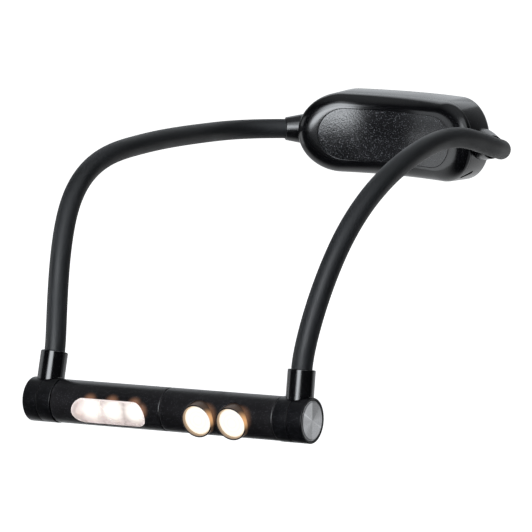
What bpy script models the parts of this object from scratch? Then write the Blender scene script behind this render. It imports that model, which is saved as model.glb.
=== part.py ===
"""Neck reading light: a curved battery pack behind the neck, two gooseneck arms and a front bar.

The bar carries two lamp heads that turn on hollow rivets, a flood head with a long window and
a spot head with two barrels, and has a push button in each end. The origin is the middle of the
neck pad's face, +X runs along the pack, -Y points out of the pad towards the neck and the bar,
and +Z is up. Lengths are in metres.
"""
import math

import bpy
import bmesh
from mathutils import Matrix, Vector

MM = 0.001

# Clearances and edges that the whole light shares
GAP = 0.3 * MM              # between pieces that touch
OVERRUN = 1.0 * MM          # how far a cutter runs past the face that it opens
EDGE = 0.35 * MM            # chamfer on turned edges
SHARP_ANGLE = math.radians(40)
QUARTER = math.pi / 2

# Battery pack: its outline where the two shells meet, and its depths at the middle
PACK_LENGTH = 101.2 * MM
PACK_HEIGHT = 41.2 * MM
PACK_SIDE_DEPTH = 16.6 * MM
PACK_DRAFT = 0.6 * MM       # how far the side wall leans out over its depth
PACK_BACK_ROUND = 3.5 * MM
PACK_WALL = 1.8 * MM
NECK_RADIUS = 95.0 * MM     # the pack bends round the neck on this radius
FACE_RISE = 9.0 * MM        # from the shells' joint forward to the pad's face
PACK_STRAIGHT_STEPS = 5
PACK_ARC_STEPS = 10
BORDER_STEPS = 4
BACK_ROUND_STEPS = 3

# Neck pad, let into the front shell
PAD_LENGTH = 76.3 * MM
PAD_HEIGHT = 26.4 * MM
PAD_THICKNESS = 1.6 * MM

# Screws that hold the shells together, and their bosses
SCREW_SPAN_X = 44.0 * MM
SCREW_SPAN_Z = 28.0 * MM
SCREW_HEAD_RADIUS = 2.2 * MM
SCREW_HEAD_HEIGHT = 1.2 * MM
SCREW_SHANK_RADIUS = 0.9 * MM
SCREW_BITE = 5.0 * MM       # how deep the shank runs into its boss
SCREW_SEAT = 1.0 * MM       # wall left under the screw's head
BOSS_RADIUS = 2.6 * MM
SCREW_SIDES = 10

# Battery cell
CELL_END_ROOM = 21.6 * MM   # at each end, for the board and the strain reliefs' necks
CELL_HEIGHT = 22.0 * MM
CELL_THICKNESS = 10.0 * MM
CELL_ROUND = 2.0 * MM

# Charging socket, in the round end's wall, and the board that carries it
SOCKET_ANGLE = math.radians(51.0)   # below +X on the end's curve
SOCKET_TWIST = math.radians(39.0)   # of its width, away from the pack's depth
SOCKET_WIDTH = 6.9 * MM
SOCKET_HEIGHT = 2.4 * MM
SOCKET_DEPTH = 5.4 * MM
SOCKET_SHELL = 0.35 * MM
SOCKET_INSET = 0.8 * MM     # how far its mouth sits behind the wall's face
SOCKET_ROUND = 0.8 * MM
SOCKET_BEHIND = 4.34 * MM   # of its middle, behind the shells' joint
BOARD_LENGTH = 10.0 * MM
BOARD_WIDTH = 7.6 * MM
BOARD_THICKNESS = 1.0 * MM
BOARD_SETBACK = 1.8 * MM    # from the wall's inner face

# Strain reliefs: cones on the pack's ends, with the arms' roots in their mouths
RELIEF_ANGLE = math.radians(37.5)   # forward of the pack's long axis
RELIEF_REACH = 12.7 * MM            # from the pack's end to the mouth
RELIEF_TIP_RADIUS = 5.9 * MM
RELIEF_BASE_RADIUS = 8.1 * MM
RELIEF_CONE_LENGTH = 11.4 * MM
RELIEF_NECK_RADIUS = 6.0 * MM
RELIEF_NECK_LENGTH = 7.5 * MM       # inside the pack's end
RELIEF_BORE_RADIUS = 3.4 * MM
RELIEF_BEHIND = 10.447 * MM         # of their axes, behind the shells' joint at the pack's ends
RELIEF_SIDES = 20
CUP_STEPS = 3

# Gooseneck arms
SLEEVE_RADIUS = 5.0 * MM
SLEEVE_BORE_RADIUS = 3.5 * MM
CORE_RADIUS = 3.1 * MM
CORE_BORE_RADIUS = 1.8 * MM
LEAD_RADIUS = 1.4 * MM
ARM_RINGS = 20
SLEEVE_SIDES = 10
CORE_SIDES = 6
LEAD_SIDES = 6
ROOT_STEPS = 2                      # rings that round the sleeve's root
ROOT_ROUND_SHARE = 0.9              # of the round from the sleeve's side to its bore

# Where the bent arms hold the bar: the bar's middle from the tilt axis, and its turn
ARM_REACH = 211.7 * MM
ARM_DROP = 108.3 * MM
BAR_SHIFT = 4.8 * MM
BAR_ROLL = math.radians(-2.42)
BAR_TILT = math.radians(-2.0)
LOOP_HALF_WIDTH = 81.0 * MM

# An arm's control points between its straight ends, from the bar to the pack, as shares of the
# loop's half width, of the reach forward of the tilt axis and of the drop below it
LEFT_ARM_SHARES = (
    (0.999, 0.871, 0.045),
    (0.973, 0.523, -0.016),
    (0.980, 0.345, -0.014),
    (1.023, 0.212, -0.002),
)
RIGHT_ARM_SHARES = (
    (1.002, 0.892, 0.122),
    (0.989, 0.528, -0.125),
    (0.993, 0.338, -0.139),
    (1.002, 0.222, -0.068),
)
LEFT_FOOT_STRAIGHT = 10.1 * MM
RIGHT_FOOT_STRAIGHT = 12.3 * MM
LEFT_ROOT_STRAIGHT = 22.4 * MM
RIGHT_ROOT_STRAIGHT = 19.7 * MM
SPLINE_DEGREE = 3

# Front bar: two heads between two end pieces, joined by hollow rivets
HEAD_RADIUS = 10.45 * MM
HEAD_WALL = 1.4 * MM
SEAM_X = 61.6 * MM          # from the bar's middle to the seams at its end pieces
END_LENGTH = 15.75 * MM
END_RADIUS = 10.7 * MM
WEB_THICKNESS = 2.0 * MM
WEB_BORE_RADIUS = 4.3 * MM
WASHER_RADIUS = 6.6 * MM
WASHER_THICKNESS = 0.8 * MM
RIVET_RADIUS = 4.0 * MM
RIVET_BORE_RADIUS = 2.5 * MM
RIVET_FLANGE_RADIUS = 6.0 * MM
RIVET_FLANGE = 0.9 * MM
BAR_SIDES = 24
RIVET_SIDES = 14

# End pieces: the inner part is the fitting, the outer part a cap round the button
FITTING_LENGTH = 7.7 * MM
FITTING_BORE_RADIUS = 7.8 * MM
SPIGOT_LENGTH = 4.6 * MM    # of the fitting, inside the cap
CAP_WALL = 1.1 * MM

# Push buttons in the bar's ends, and the switches that they press
BUTTON_GAP = 0.2 * MM
BUTTON_THICKNESS = 1.2 * MM
BUTTON_INSET = 0.1 * MM
BUTTON_TRAVEL = 0.8 * MM
BUTTON_STEM_RADIUS = 1.5 * MM
SWITCH_SIZE = 6.2 * MM
SWITCH_HEIGHT = 2.6 * MM
SMALL_SIDES = 10

# Ferrules that hold the arms' feet
FERRULE_RADIUS = 6.6 * MM
FERRULE_TOP = 23.4 * MM     # from the bar's axis
FERRULE_SOCKET = 8.5 * MM   # how deep the sleeve sits
FERRULE_STUD_RADIUS = 3.2 * MM
FERRULE_STUD_REACH = 7.8 * MM   # its inner end, from the bar's axis
FERRULE_BORE_RADIUS = 1.8 * MM
FERRULE_X = 69.6 * MM
LEFT_LEAN = math.radians(14.9)
RIGHT_LEAN = math.radians(8.3)
FERRULE_SIDES = 18
SADDLE_SIDES = 40

# Flood head: a window with rounded ends, aimed down
FLOOD_AIM = math.radians(19.3)
WINDOW_X = -29.4 * MM
WINDOW_LENGTH = 41.5 * MM
WINDOW_HEIGHT = 13.2 * MM
LENS_THICKNESS = 1.2 * MM
LENS_INSET = 0.2 * MM       # of its face, behind the tube's
TRAY_WALL = 0.8 * MM
TRAY_FLOOR = 4.6 * MM       # the bright floor, from the bar's axis
TRAY_FLANGE = 1.0 * MM      # how far the tray reaches past the window
TRAY_TAPER_SHARE = 0.72     # of the mouth's height that the floor has
WINDOW_ARC_STEPS = 10

# LEDs and their boards in both heads
LED_PITCH = 12.1 * MM
LED_SIZE = 3.0 * MM
LED_HEIGHT = 1.2 * MM
LED_ROUND = 0.2 * MM
LED_HOLE_RADIUS = 2.5 * MM
LED_BOARD_MARGIN = 3.0 * MM
LED_BOARD_HEIGHT = 6.0 * MM

# Spot head: two barrels, aimed down
SPOT_AIM = math.radians(13.9)
SPOT_X = 30.5 * MM
SPOT_PITCH = 18.65 * MM
BARREL_RADIUS = 8.1 * MM
BARREL_REACH = 11.7 * MM    # its front face, from the bar's axis
BARREL_WALL = 0.85 * MM
BARREL_RIM = 0.4 * MM
BARREL_BACK = 1.0 * MM      # its inner end, from the bar's axis
BARREL_FLOOR = 1.0 * MM
WIRE_HOLE_RADIUS = 1.0 * MM
SPOT_LENS_INSET = 1.6 * MM
SPOT_LENS_RIM = 1.2 * MM
SPOT_LENS_DEPTH = 4.8 * MM
SPOT_LENS_DOME = 0.5 * MM
SPOT_LENS_TAIL_RADIUS = 2.4 * MM
CUP_WALL = 0.8 * MM
BARREL_SIDES = 20
SPOT_SIDES = 14

# Finishes: colour, roughness and metallic value
SHELL_BLACK = ((0.014, 0.014, 0.015), 0.32, 0.0)
PAD_BLACK = ((0.025, 0.026, 0.028), 0.55, 0.0)
SLEEVE_RUBBER = ((0.035, 0.037, 0.038), 0.65, 0.0)
LEAD_JACKET = ((0.03, 0.03, 0.03), 0.6, 0.0)
ANODISED_BLACK = ((0.014, 0.014, 0.015), 0.4, 0.3)
FERRULE_BLACK = ((0.010, 0.010, 0.011), 0.22, 0.4)
BRIGHT_STEEL = ((0.58, 0.58, 0.60), 0.3, 1.0)
DARK_STEEL = ((0.05, 0.05, 0.05), 0.4, 1.0)
SILVERED = ((0.80, 0.80, 0.80), 0.2, 1.0)
CLEAR_LENS = ((0.92, 0.92, 0.90), 0.05, 0.0)
GREEN_BOARD = ((0.02, 0.16, 0.06), 0.5, 0.0)
WHITE_BOARD = ((0.75, 0.75, 0.72), 0.5, 0.0)
LED_YELLOW = ((0.90, 0.80, 0.50), 0.4, 0.0)
SWITCH_BLACK = ((0.03, 0.03, 0.03), 0.5, 0.0)
WASHER_NYLON = ((0.70, 0.70, 0.65), 0.5, 0.0)
CELL_FOIL = ((0.35, 0.37, 0.40), 0.35, 0.6)

# Places worked out from the sizes above
PACK_END_RADIUS = PACK_HEIGHT / 2
PACK_END_X = PACK_LENGTH / 2 - PACK_END_RADIUS      # the middle of a round end
BORDER_WIDTH = (PACK_HEIGHT - PAD_HEIGHT) / 2
MIDDLE_X = (PAD_LENGTH - PAD_HEIGHT) / 2 / PACK_STRAIGHT_STEPS     # half the flat middle strip
BACK_Y = FACE_RISE + PACK_SIDE_DEPTH + PACK_BACK_ROUND
RECESS_FLOOR = PAD_THICKNESS + GAP
RELIEF_X = PACK_LENGTH / 2 + RELIEF_REACH * math.cos(RELIEF_ANGLE)
WASHER_SEAT = (WASHER_THICKNESS + GAP) / 2
WASHER_SEAT_RADIUS = WASHER_RADIUS + GAP
CAP_BORE_RADIUS = END_RADIUS - CAP_WALL


def finish(name, colour, roughness, metallic):
    """Give a new material with one plain finish."""
    material = bpy.data.materials.new(name)
    material.use_nodes = True
    shader = material.node_tree.nodes["Principled BSDF"]
    shader.inputs["Base Color"].default_value = (*colour, 1)
    shader.inputs["Roughness"].default_value = roughness
    shader.inputs["Metallic"].default_value = metallic
    return material


def add(name, data, parent, location, turn):
    """Add an object to the scene, turned and placed in its parent's frame."""
    thing = bpy.data.objects.new(name, data)
    bpy.context.scene.collection.objects.link(thing)
    thing.parent = parent
    thing.location = location
    thing.rotation_euler = turn
    return thing


def place(name, mesh, look, parent=None, location=(0, 0, 0), turn=(0, 0, 0)):
    """Add a piece with its own material."""
    mesh.materials.append(finish(name, *look))
    return add(name, mesh, parent, location, turn)


def pivot(name, parent=None, location=(0, 0, 0), turn=(0, 0, 0)):
    """Add an empty that carries pieces, on a joint's axis or in a turned place."""
    return add(name, None, parent, location, turn)


def cutter(name, mesh, parent=None, location=(0, 0, 0), turn=(0, 0, 0)):
    """Add a mesh that only shapes others."""
    tool = add(name, mesh, parent, location, turn)
    tool.hide_render = True
    tool.display_type = "WIRE"
    return tool


def boolean(piece, tool, operation="DIFFERENCE"):
    """Cut a piece with a tool, join it to the tool, or keep what they share."""
    modifier = piece.modifiers.new(tool.name, "BOOLEAN")
    modifier.operation = operation
    modifier.solver = "EXACT"
    modifier.object = tool


def mesh_from(bm, name):
    """Turn a bmesh into a mesh whose faces point out and whose round parts are smooth."""
    bmesh.ops.recalc_face_normals(bm, faces=bm.faces)
    mesh = bpy.data.meshes.new(name)
    bm.to_mesh(mesh)
    bm.free()
    mesh.shade_smooth()
    mesh.set_sharp_from_angle(angle=SHARP_ANGLE)
    return mesh


def bridge(bm, rings):
    """Join each ring of vertices to the next with four-sided faces."""
    for first, second in zip(rings, rings[1:]):
        count = len(first)
        for step in range(count):
            after = (step + 1) % count
            bm.faces.new((first[step], first[after], second[after], second[step]))


def turned(name, profile, sides):
    """Revolve a closed profile of (along, radius) points about the local X axis."""
    bm = bmesh.new()
    turns = [2 * math.pi * step / sides for step in range(sides)]
    rings = []
    for along, radius in profile:
        if radius == 0:
            rings.append([bm.verts.new((along, 0, 0))] * sides)
        else:
            places = [(along, radius * math.cos(a), radius * math.sin(a)) for a in turns]
            rings.append([bm.verts.new(spot) for spot in places])
    for first, second in zip(rings, rings[1:] + rings[:1]):
        for step in range(sides):
            after = (step + 1) % sides
            corners = (first[step], first[after], second[after], second[step])
            corners = list(dict.fromkeys(corners))
            if len(corners) > 2:
                bm.faces.new(corners)
    return mesh_from(bm, name)


def rod(name, start, end, radius, sides):
    """A plain round bar along the local X axis."""
    return turned(name, [(start, 0), (start, radius), (end, radius), (end, 0)], sides)


def tube(name, start, end, bore, radius, sides):
    """A plain round tube along the local X axis."""
    return turned(name, [(start, bore), (start, radius), (end, radius), (end, bore)], sides)


def block(name, size, middle, round_edge=0):
    """A rectangular block, with its edges rounded if asked."""
    bm = bmesh.new()
    bmesh.ops.create_cube(bm, size=1)
    bmesh.ops.scale(bm, vec=size, verts=bm.verts)
    if round_edge:
        bmesh.ops.bevel(bm, geom=bm.edges, offset=round_edge, segments=2, affect="EDGES", profile=0.5)
    bmesh.ops.translate(bm, vec=middle, verts=bm.verts)
    return mesh_from(bm, name)


def stadium(length, height, straight_steps, arc_steps):
    """Points (x, z) of a stadium, from the right end of its top edge round by the left."""
    radius = height / 2
    half = length / 2 - radius
    top = [(half - 2 * half * step / straight_steps, radius) for step in range(straight_steps + 1)]
    turns = [QUARTER + math.pi * step / arc_steps for step in range(1, arc_steps)]
    left = [(-half + radius * math.cos(a), radius * math.sin(a)) for a in turns]
    return top + left + [(-x, -z) for x, z in top + left]


def oval_prism(name, length, height, near, far, taper_share=1):
    """A block with round ends, out along -Y from near to far, its near end tapered if asked."""
    near_height = height * taper_share
    near_length = length - height + near_height
    bm = bmesh.new()
    rings = []
    for depth, long, tall in ((near, near_length, near_height), (far, length, height)):
        outline = stadium(long, tall, 1, WINDOW_ARC_STEPS)
        rings.append([bm.verts.new((x, -depth, z)) for x, z in outline])
    bridge(bm, rings)
    for ring in rings:
        bm.faces.new(ring)
    return mesh_from(bm, name)


def wrap(x):
    """How far a point beside the middle sits forward of the pad's flat middle strip."""
    return math.sqrt(NECK_RADIUS ** 2 - MIDDLE_X ** 2) - math.sqrt(NECK_RADIUS ** 2 - x ** 2)


def root_y():
    """The place along Y of the arms' tilt axis, which runs through both strain reliefs' mouths."""
    seat = FACE_RISE + RELIEF_BEHIND - wrap(PACK_LENGTH / 2)
    return seat - RELIEF_REACH * math.sin(RELIEF_ANGLE)


def pack_ring(bm, length, height, depth):
    """One stadium of the pack, bent round the neck, at a depth behind the pad's face."""
    outline = stadium(length, height, PACK_STRAIGHT_STEPS, PACK_ARC_STEPS)
    return [bm.verts.new((x, depth - wrap(x), z)) for x, z in outline]


def pack_lid(bm, ring):
    """Close a stadium ring with strips that run from its top edge to its bottom edge."""
    half = len(ring) // 2
    quarter = PACK_ARC_STEPS // 2
    top = ring[-quarter:] + ring[:half - quarter + 1]
    bottom = ring[half - quarter:len(ring) - quarter + 1][::-1]
    for step in range(len(top) - 1):
        corners = (top[step], top[step + 1], bottom[step + 1], bottom[step])
        bm.faces.new(list(dict.fromkeys(corners)))


def border_rings(bm, wall, back, front):
    """The front shell's border: a quarter ellipse from the shells' joint to the pad's edge."""
    rings = []
    for step in range(BORDER_STEPS + 1):
        turn = QUARTER * step / BORDER_STEPS
        inward = BORDER_WIDTH * (1 - math.cos(turn))
        depth = back - (back - front) * math.sin(turn)
        length = PACK_LENGTH - (PACK_LENGTH - PAD_LENGTH) * inward / BORDER_WIDTH - 2 * wall
        height = PACK_HEIGHT - 2 * (inward + wall)
        rings.append(pack_ring(bm, length, height, depth))
    return rings


def screw_places():
    """The four screws' places, in X and Z."""
    return [(sx * SCREW_SPAN_X / 2, sz * SCREW_SPAN_Z / 2) for sx in (-1, 1) for sz in (-1, 1)]


def boss_end():
    """The depth at which the bosses stop, just inside the rear shell."""
    return BACK_Y - PACK_WALL - 2 * GAP - wrap(SCREW_SPAN_X / 2 + BOSS_RADIUS)


def make_front_shell():
    """The front shell: a rounded border round the pad's recess, open behind, with four bosses."""
    bm = bmesh.new()
    outer = border_rings(bm, 0, FACE_RISE, 0)
    floor = pack_ring(bm, PAD_LENGTH, PAD_HEIGHT, RECESS_FLOOR)
    inner = border_rings(bm, PACK_WALL, FACE_RISE, RECESS_FLOOR + PACK_WALL)
    bridge(bm, outer + [floor])
    bridge(bm, inner)
    bridge(bm, [outer[0], inner[0]])
    pack_lid(bm, floor)
    pack_lid(bm, inner[-1])
    shell = place("pack_front_shell", mesh_from(bm, "pack_front_shell"), SHELL_BLACK)
    start = RECESS_FLOOR + PACK_WALL / 2 - wrap(SCREW_SPAN_X / 2)
    end = boss_end()
    boss = rod("boss", start, end, BOSS_RADIUS, SCREW_SIDES)
    pilot = rod("pilot", end - SCREW_BITE - GAP, end + OVERRUN, SCREW_SHANK_RADIUS + GAP, SCREW_SIDES)
    for index, (x, z) in enumerate(screw_places(), 1):
        tool = cutter(f"boss_{index}", boss.copy(), None, (x, 0, z), (0, 0, QUARTER))
        boolean(shell, tool, "UNION")
    for index, (x, z) in enumerate(screw_places(), 1):
        boolean(shell, cutter(f"pilot_{index}", pilot.copy(), None, (x, 0, z), (0, 0, QUARTER)))


def rear_rings(bm, grow, side_depth):
    """The rear shell's rings from the joint to the back's edge, grown past its outer face."""
    rings = [pack_ring(bm, PACK_LENGTH + 2 * grow, PACK_HEIGHT + 2 * grow, FACE_RISE + GAP)]
    for step in range(BACK_ROUND_STEPS + 1):
        turn = QUARTER * step / BACK_ROUND_STEPS
        out = grow + PACK_DRAFT - PACK_BACK_ROUND * (1 - math.cos(turn))
        depth = FACE_RISE + side_depth + PACK_BACK_ROUND * math.sin(turn)
        rings.append(pack_ring(bm, PACK_LENGTH + 2 * out, PACK_HEIGHT + 2 * out, depth))
    return rings


def make_rear_shell():
    """The rear shell: the side wall and the back, open in front, with the screws' seats."""
    bm = bmesh.new()
    outer = rear_rings(bm, 0, PACK_SIDE_DEPTH)
    inner = rear_rings(bm, -PACK_WALL, PACK_SIDE_DEPTH - PACK_WALL)
    bridge(bm, outer)
    bridge(bm, inner)
    bridge(bm, [outer[0], inner[0]])
    pack_lid(bm, outer[-1])
    pack_lid(bm, inner[-1])
    shell = place("pack_rear_shell", mesh_from(bm, "pack_rear_shell"), SHELL_BLACK)
    seat = boss_end() + GAP + SCREW_SEAT
    shank = SCREW_SHANK_RADIUS + GAP
    head = SCREW_HEAD_RADIUS + GAP
    far = BACK_Y + OVERRUN
    profile = [(boss_end(), 0), (boss_end(), shank), (seat, shank), (seat, head), (far, head), (far, 0)]
    hole = turned("screw_hole", profile, SCREW_SIDES)
    for index, (x, z) in enumerate(screw_places(), 1):
        boolean(shell, cutter(f"screw_hole_{index}", hole.copy(), None, (x, 0, z), (0, 0, QUARTER)))
    return shell


def make_screws():
    """Pan-head screws: the head over its seat in the rear shell, the shank in its boss."""
    under = boss_end() + 2 * GAP + SCREW_SEAT
    top = under + SCREW_HEAD_HEIGHT
    tip = boss_end() - SCREW_BITE
    profile = [
        (tip, 0), (tip, SCREW_SHANK_RADIUS), (under, SCREW_SHANK_RADIUS), (under, SCREW_HEAD_RADIUS),
        (top - SCREW_HEAD_HEIGHT / 2, SCREW_HEAD_RADIUS), (top, SCREW_HEAD_RADIUS / 2), (top, 0),
    ]
    for index, (x, z) in enumerate(screw_places(), 1):
        name = f"pack_screw_{index}"
        place(name, turned(name, profile, SCREW_SIDES), DARK_STEEL, None, (x, 0, z), (0, 0, QUARTER))


def make_neck_pad():
    """The pad: a thin curved oval let into the front shell, level with its border."""
    length = PAD_LENGTH - 2 * GAP
    height = PAD_HEIGHT - 2 * GAP
    bm = bmesh.new()
    face = pack_ring(bm, length - 2 * EDGE, height - 2 * EDGE, 0)
    rim = pack_ring(bm, length, height, EDGE)
    back = pack_ring(bm, length, height, PAD_THICKNESS)
    bridge(bm, [face, rim, back])
    pack_lid(bm, face)
    pack_lid(bm, back)
    place("neck_pad", mesh_from(bm, "neck_pad"), PAD_BLACK)


def make_cell():
    """The battery cell, on the flat middle of the front shell's inside."""
    front = RECESS_FLOOR + PACK_WALL + GAP
    size = (PACK_LENGTH - 2 * CELL_END_ROOM, CELL_THICKNESS, CELL_HEIGHT)
    mesh = block("battery_cell", size, (0, front + CELL_THICKNESS / 2, 0), CELL_ROUND)
    place("battery_cell", mesh, CELL_FOIL)


def make_socket(rear_shell):
    """The charging socket in the right end's wall, and the board that carries it."""
    turn = (SOCKET_TWIST, SOCKET_ANGLE, 0)
    wall_x = PACK_END_X + PACK_END_RADIUS * math.cos(SOCKET_ANGLE)
    behind = FACE_RISE + SOCKET_BEHIND - wrap(wall_x)
    frame = pivot("socket_frame", None, (PACK_END_X, behind, 0), turn)
    mouth = PACK_END_RADIUS - SOCKET_INSET
    size = Vector((SOCKET_DEPTH, SOCKET_WIDTH, SOCKET_HEIGHT))
    middle = Vector((mouth - SOCKET_DEPTH / 2, 0, 0))
    mesh = block("usb_socket", size, middle, SOCKET_ROUND / 2)
    socket = place("usb_socket", mesh, BRIGHT_STEEL, frame)
    shell = Vector((0, SOCKET_SHELL, SOCKET_SHELL))
    hollow = block("socket_hollow", size - 2 * shell, middle + Vector((2 * SOCKET_SHELL, 0, 0)))
    boolean(socket, cutter("socket_hollow", hollow, frame))
    size = (2 * (PACK_WALL + OVERRUN), SOCKET_WIDTH + 2 * GAP, SOCKET_HEIGHT + 2 * GAP)
    slot = block("socket_slot", size, (PACK_END_RADIUS - PACK_WALL / 2, 0, 0), SOCKET_ROUND)
    boolean(rear_shell, cutter("socket_slot", slot, frame))
    outer = PACK_END_RADIUS - PACK_WALL - BOARD_SETBACK
    above = SOCKET_HEIGHT / 2 + GAP + BOARD_THICKNESS / 2
    size = (BOARD_LENGTH, BOARD_WIDTH, BOARD_THICKNESS)
    mesh = block("charge_board", size, (outer - BOARD_LENGTH / 2, 0, above))
    place("charge_board", mesh, GREEN_BOARD, frame)


def make_relief(side, name, rear_shell):
    """A strain relief: a cone seated on the pack's end, with its neck through the wall."""
    turn = -RELIEF_ANGLE if side > 0 else math.pi + RELIEF_ANGLE
    frame = pivot(f"{name}_frame", None, (side * RELIEF_X, root_y(), 0), (0, 0, turn))
    back = -RELIEF_REACH - RELIEF_NECK_LENGTH
    mouth = SLEEVE_RADIUS + GAP
    slope = (RELIEF_BASE_RADIUS - RELIEF_TIP_RADIUS) / RELIEF_CONE_LENGTH
    profile = [
        (back, RELIEF_BORE_RADIUS), (back, RELIEF_BASE_RADIUS),
        (-RELIEF_CONE_LENGTH, RELIEF_BASE_RADIUS), (-EDGE, RELIEF_TIP_RADIUS + slope * EDGE),
        (0, RELIEF_TIP_RADIUS - EDGE / 2), (0, mouth),
    ]
    floor = math.acos(RELIEF_BORE_RADIUS / mouth)
    for step in range(1, CUP_STEPS + 1):
        turn = floor * step / CUP_STEPS
        profile.append((-mouth * math.sin(turn), mouth * math.cos(turn)))
    relief = place(name, turned(name, profile, RELIEF_SIDES), SHELL_BLACK, frame)
    bm = bmesh.new()
    front = pack_ring(bm, PACK_LENGTH + 2 * GAP, PACK_HEIGHT + 2 * GAP, 0)
    rings = [front] + rear_rings(bm, GAP, PACK_SIDE_DEPTH)
    bridge(bm, rings)
    pack_lid(bm, front)
    pack_lid(bm, rings[-1])
    seat = cutter(f"{name}_seat", mesh_from(bm, "relief_seat"))
    neck = rod("relief_neck", back - OVERRUN, OVERRUN, RELIEF_NECK_RADIUS, RELIEF_SIDES)
    boolean(seat, cutter(f"{name}_neck", neck, frame))
    boolean(relief, seat)
    hole = rod("relief_hole", back - OVERRUN, 0, RELIEF_NECK_RADIUS + GAP, RELIEF_SIDES)
    boolean(rear_shell, cutter(f"{name}_hole", hole, frame))


def spline_point(points, t):
    """A point of the clamped uniform B-spline through its control points, t from 0 to 1."""
    degree = SPLINE_DEGREE
    spans = len(points) - degree
    knots = [0] * (degree + 1) + [k / spans for k in range(1, spans)] + [1] * (degree + 1)
    span = min(int(t * spans), spans - 1) + degree
    work = [points[j] for j in range(span - degree, span + 1)]
    for level in range(1, degree + 1):
        for j in range(degree, level - 1, -1):
            low = knots[j + span - degree]
            high = knots[j + 1 + span - level]
            work[j] = work[j - 1].lerp(work[j], (t - low) / (high - low))
    return work[degree]


def swept(name, path, radii, sides, bore=0):
    """A bar along a path with a radius at each point, hollow if it has a bore."""
    bm = bmesh.new()
    outer = []
    inner = []
    sideways = None
    for index, point in enumerate(path):
        ahead = path[min(index + 1, len(path) - 1)]
        behind = path[max(index - 1, 0)]
        along = (ahead - behind).normalized()
        last = sideways if sideways else along.orthogonal()
        sideways = (last - along * last.dot(along)).normalized()
        upward = along.cross(sideways)
        turns = [2 * math.pi * step / sides for step in range(sides)]
        spokes = [sideways * math.cos(a) + upward * math.sin(a) for a in turns]
        outer.append([bm.verts.new(point + spoke * radii[index]) for spoke in spokes])
        if bore:
            inner.append([bm.verts.new(point + spoke * bore) for spoke in spokes])
    bridge(bm, outer)
    bridge(bm, inner)
    for end in (0, -1):
        if bore:
            bridge(bm, [outer[end], inner[end]])
        else:
            bm.faces.new(outer[end])
    return mesh_from(bm, name)


def make_arm(side, name, tilt, bar_matrix, shares, lean, foot_straight, root_straight):
    """One gooseneck arm: a rubber sleeve, a steel gooseneck core and the lead inside it.

    Its foot stands in a ferrule on the bar, and its root is rounded to tilt in the relief's mouth.
    """
    upright = Vector((0, math.sin(lean), math.cos(lean)))
    foot_way = (bar_matrix.to_3x3() @ upright).normalized()
    foot = bar_matrix @ (Vector((side * FERRULE_X, 0, 0)) + upright * FERRULE_TOP)
    root_way = Vector((side * math.cos(RELIEF_ANGLE), -math.sin(RELIEF_ANGLE), 0))
    root = Vector((side * RELIEF_X, 0, 0))
    points = [foot, foot + foot_way * foot_straight]
    for across, forward, down in shares:
        points.append(Vector((side * LOOP_HALF_WIDTH * across, -ARM_REACH * forward, -ARM_DROP * down)))
    points += [root + root_way * root_straight, root]
    bend = [spline_point(points, step / (ARM_RINGS - 1)) for step in range(ARM_RINGS)]
    path = [foot - foot_way * FERRULE_SOCKET] + bend
    core = swept(f"{name}_core", path, [CORE_RADIUS] * len(path), CORE_SIDES, CORE_BORE_RADIUS)
    place(f"{name}_core", core, BRIGHT_STEEL, tilt)
    radii = [SLEEVE_RADIUS] * len(path)
    round_end = ROOT_ROUND_SHARE * math.acos(SLEEVE_BORE_RADIUS / SLEEVE_RADIUS)
    for step in range(1, ROOT_STEPS + 1):
        turn = round_end * step / ROOT_STEPS
        path.append(root - root_way * SLEEVE_RADIUS * math.sin(turn))
        radii.append(SLEEVE_RADIUS * math.cos(turn))
    sleeve = swept(f"{name}_sleeve", path, radii, SLEEVE_SIDES, SLEEVE_BORE_RADIUS)
    place(f"{name}_sleeve", sleeve, SLEEVE_RUBBER, tilt)
    lead_foot = foot - foot_way * (FERRULE_TOP - FERRULE_STUD_REACH)
    path = [lead_foot] + bend + [root - root_way * SLEEVE_RADIUS]
    lead = swept(f"{name}_lead", path, [LEAD_RADIUS] * len(path), LEAD_SIDES)
    place(f"{name}_lead", lead, LEAD_JACKET, tilt)


def head_profile(start, end):
    """A head tube's section, with a web near each end and a washer's seat outside the web."""
    inner = HEAD_RADIUS - HEAD_WALL
    web = WASHER_SEAT + WEB_THICKNESS
    return [
        (start, WASHER_SEAT_RADIUS), (start, HEAD_RADIUS - EDGE), (start + EDGE, HEAD_RADIUS),
        (end - EDGE, HEAD_RADIUS), (end, HEAD_RADIUS - EDGE), (end, WASHER_SEAT_RADIUS),
        (end - WASHER_SEAT, WASHER_SEAT_RADIUS), (end - WASHER_SEAT, WEB_BORE_RADIUS),
        (end - web, WEB_BORE_RADIUS), (end - web, inner), (start + web, inner),
        (start + web, WEB_BORE_RADIUS), (start + WASHER_SEAT, WEB_BORE_RADIUS),
        (start + WASHER_SEAT, WASHER_SEAT_RADIUS),
    ]


def make_rivet(name, at, carrier):
    """A hollow rivet through two webs, and the friction washer between them."""
    grip = GAP / 2 + WASHER_SEAT + WEB_THICKNESS + GAP
    end = grip + RIVET_FLANGE
    profile = [
        (-end, RIVET_BORE_RADIUS), (-end, RIVET_FLANGE_RADIUS), (-grip, RIVET_FLANGE_RADIUS),
        (-grip, RIVET_RADIUS), (grip, RIVET_RADIUS), (grip, RIVET_FLANGE_RADIUS),
        (end, RIVET_FLANGE_RADIUS), (end, RIVET_BORE_RADIUS),
    ]
    mesh = turned(f"{name}_rivet", profile, RIVET_SIDES)
    place(f"{name}_rivet", mesh, BRIGHT_STEEL, carrier, (at, 0, 0))
    half = WASHER_THICKNESS / 2
    mesh = tube(f"{name}_washer", -half, half, WEB_BORE_RADIUS, WASHER_RADIUS, RIVET_SIDES)
    place(f"{name}_washer", mesh, WASHER_NYLON, carrier, (at, 0, 0))


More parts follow.
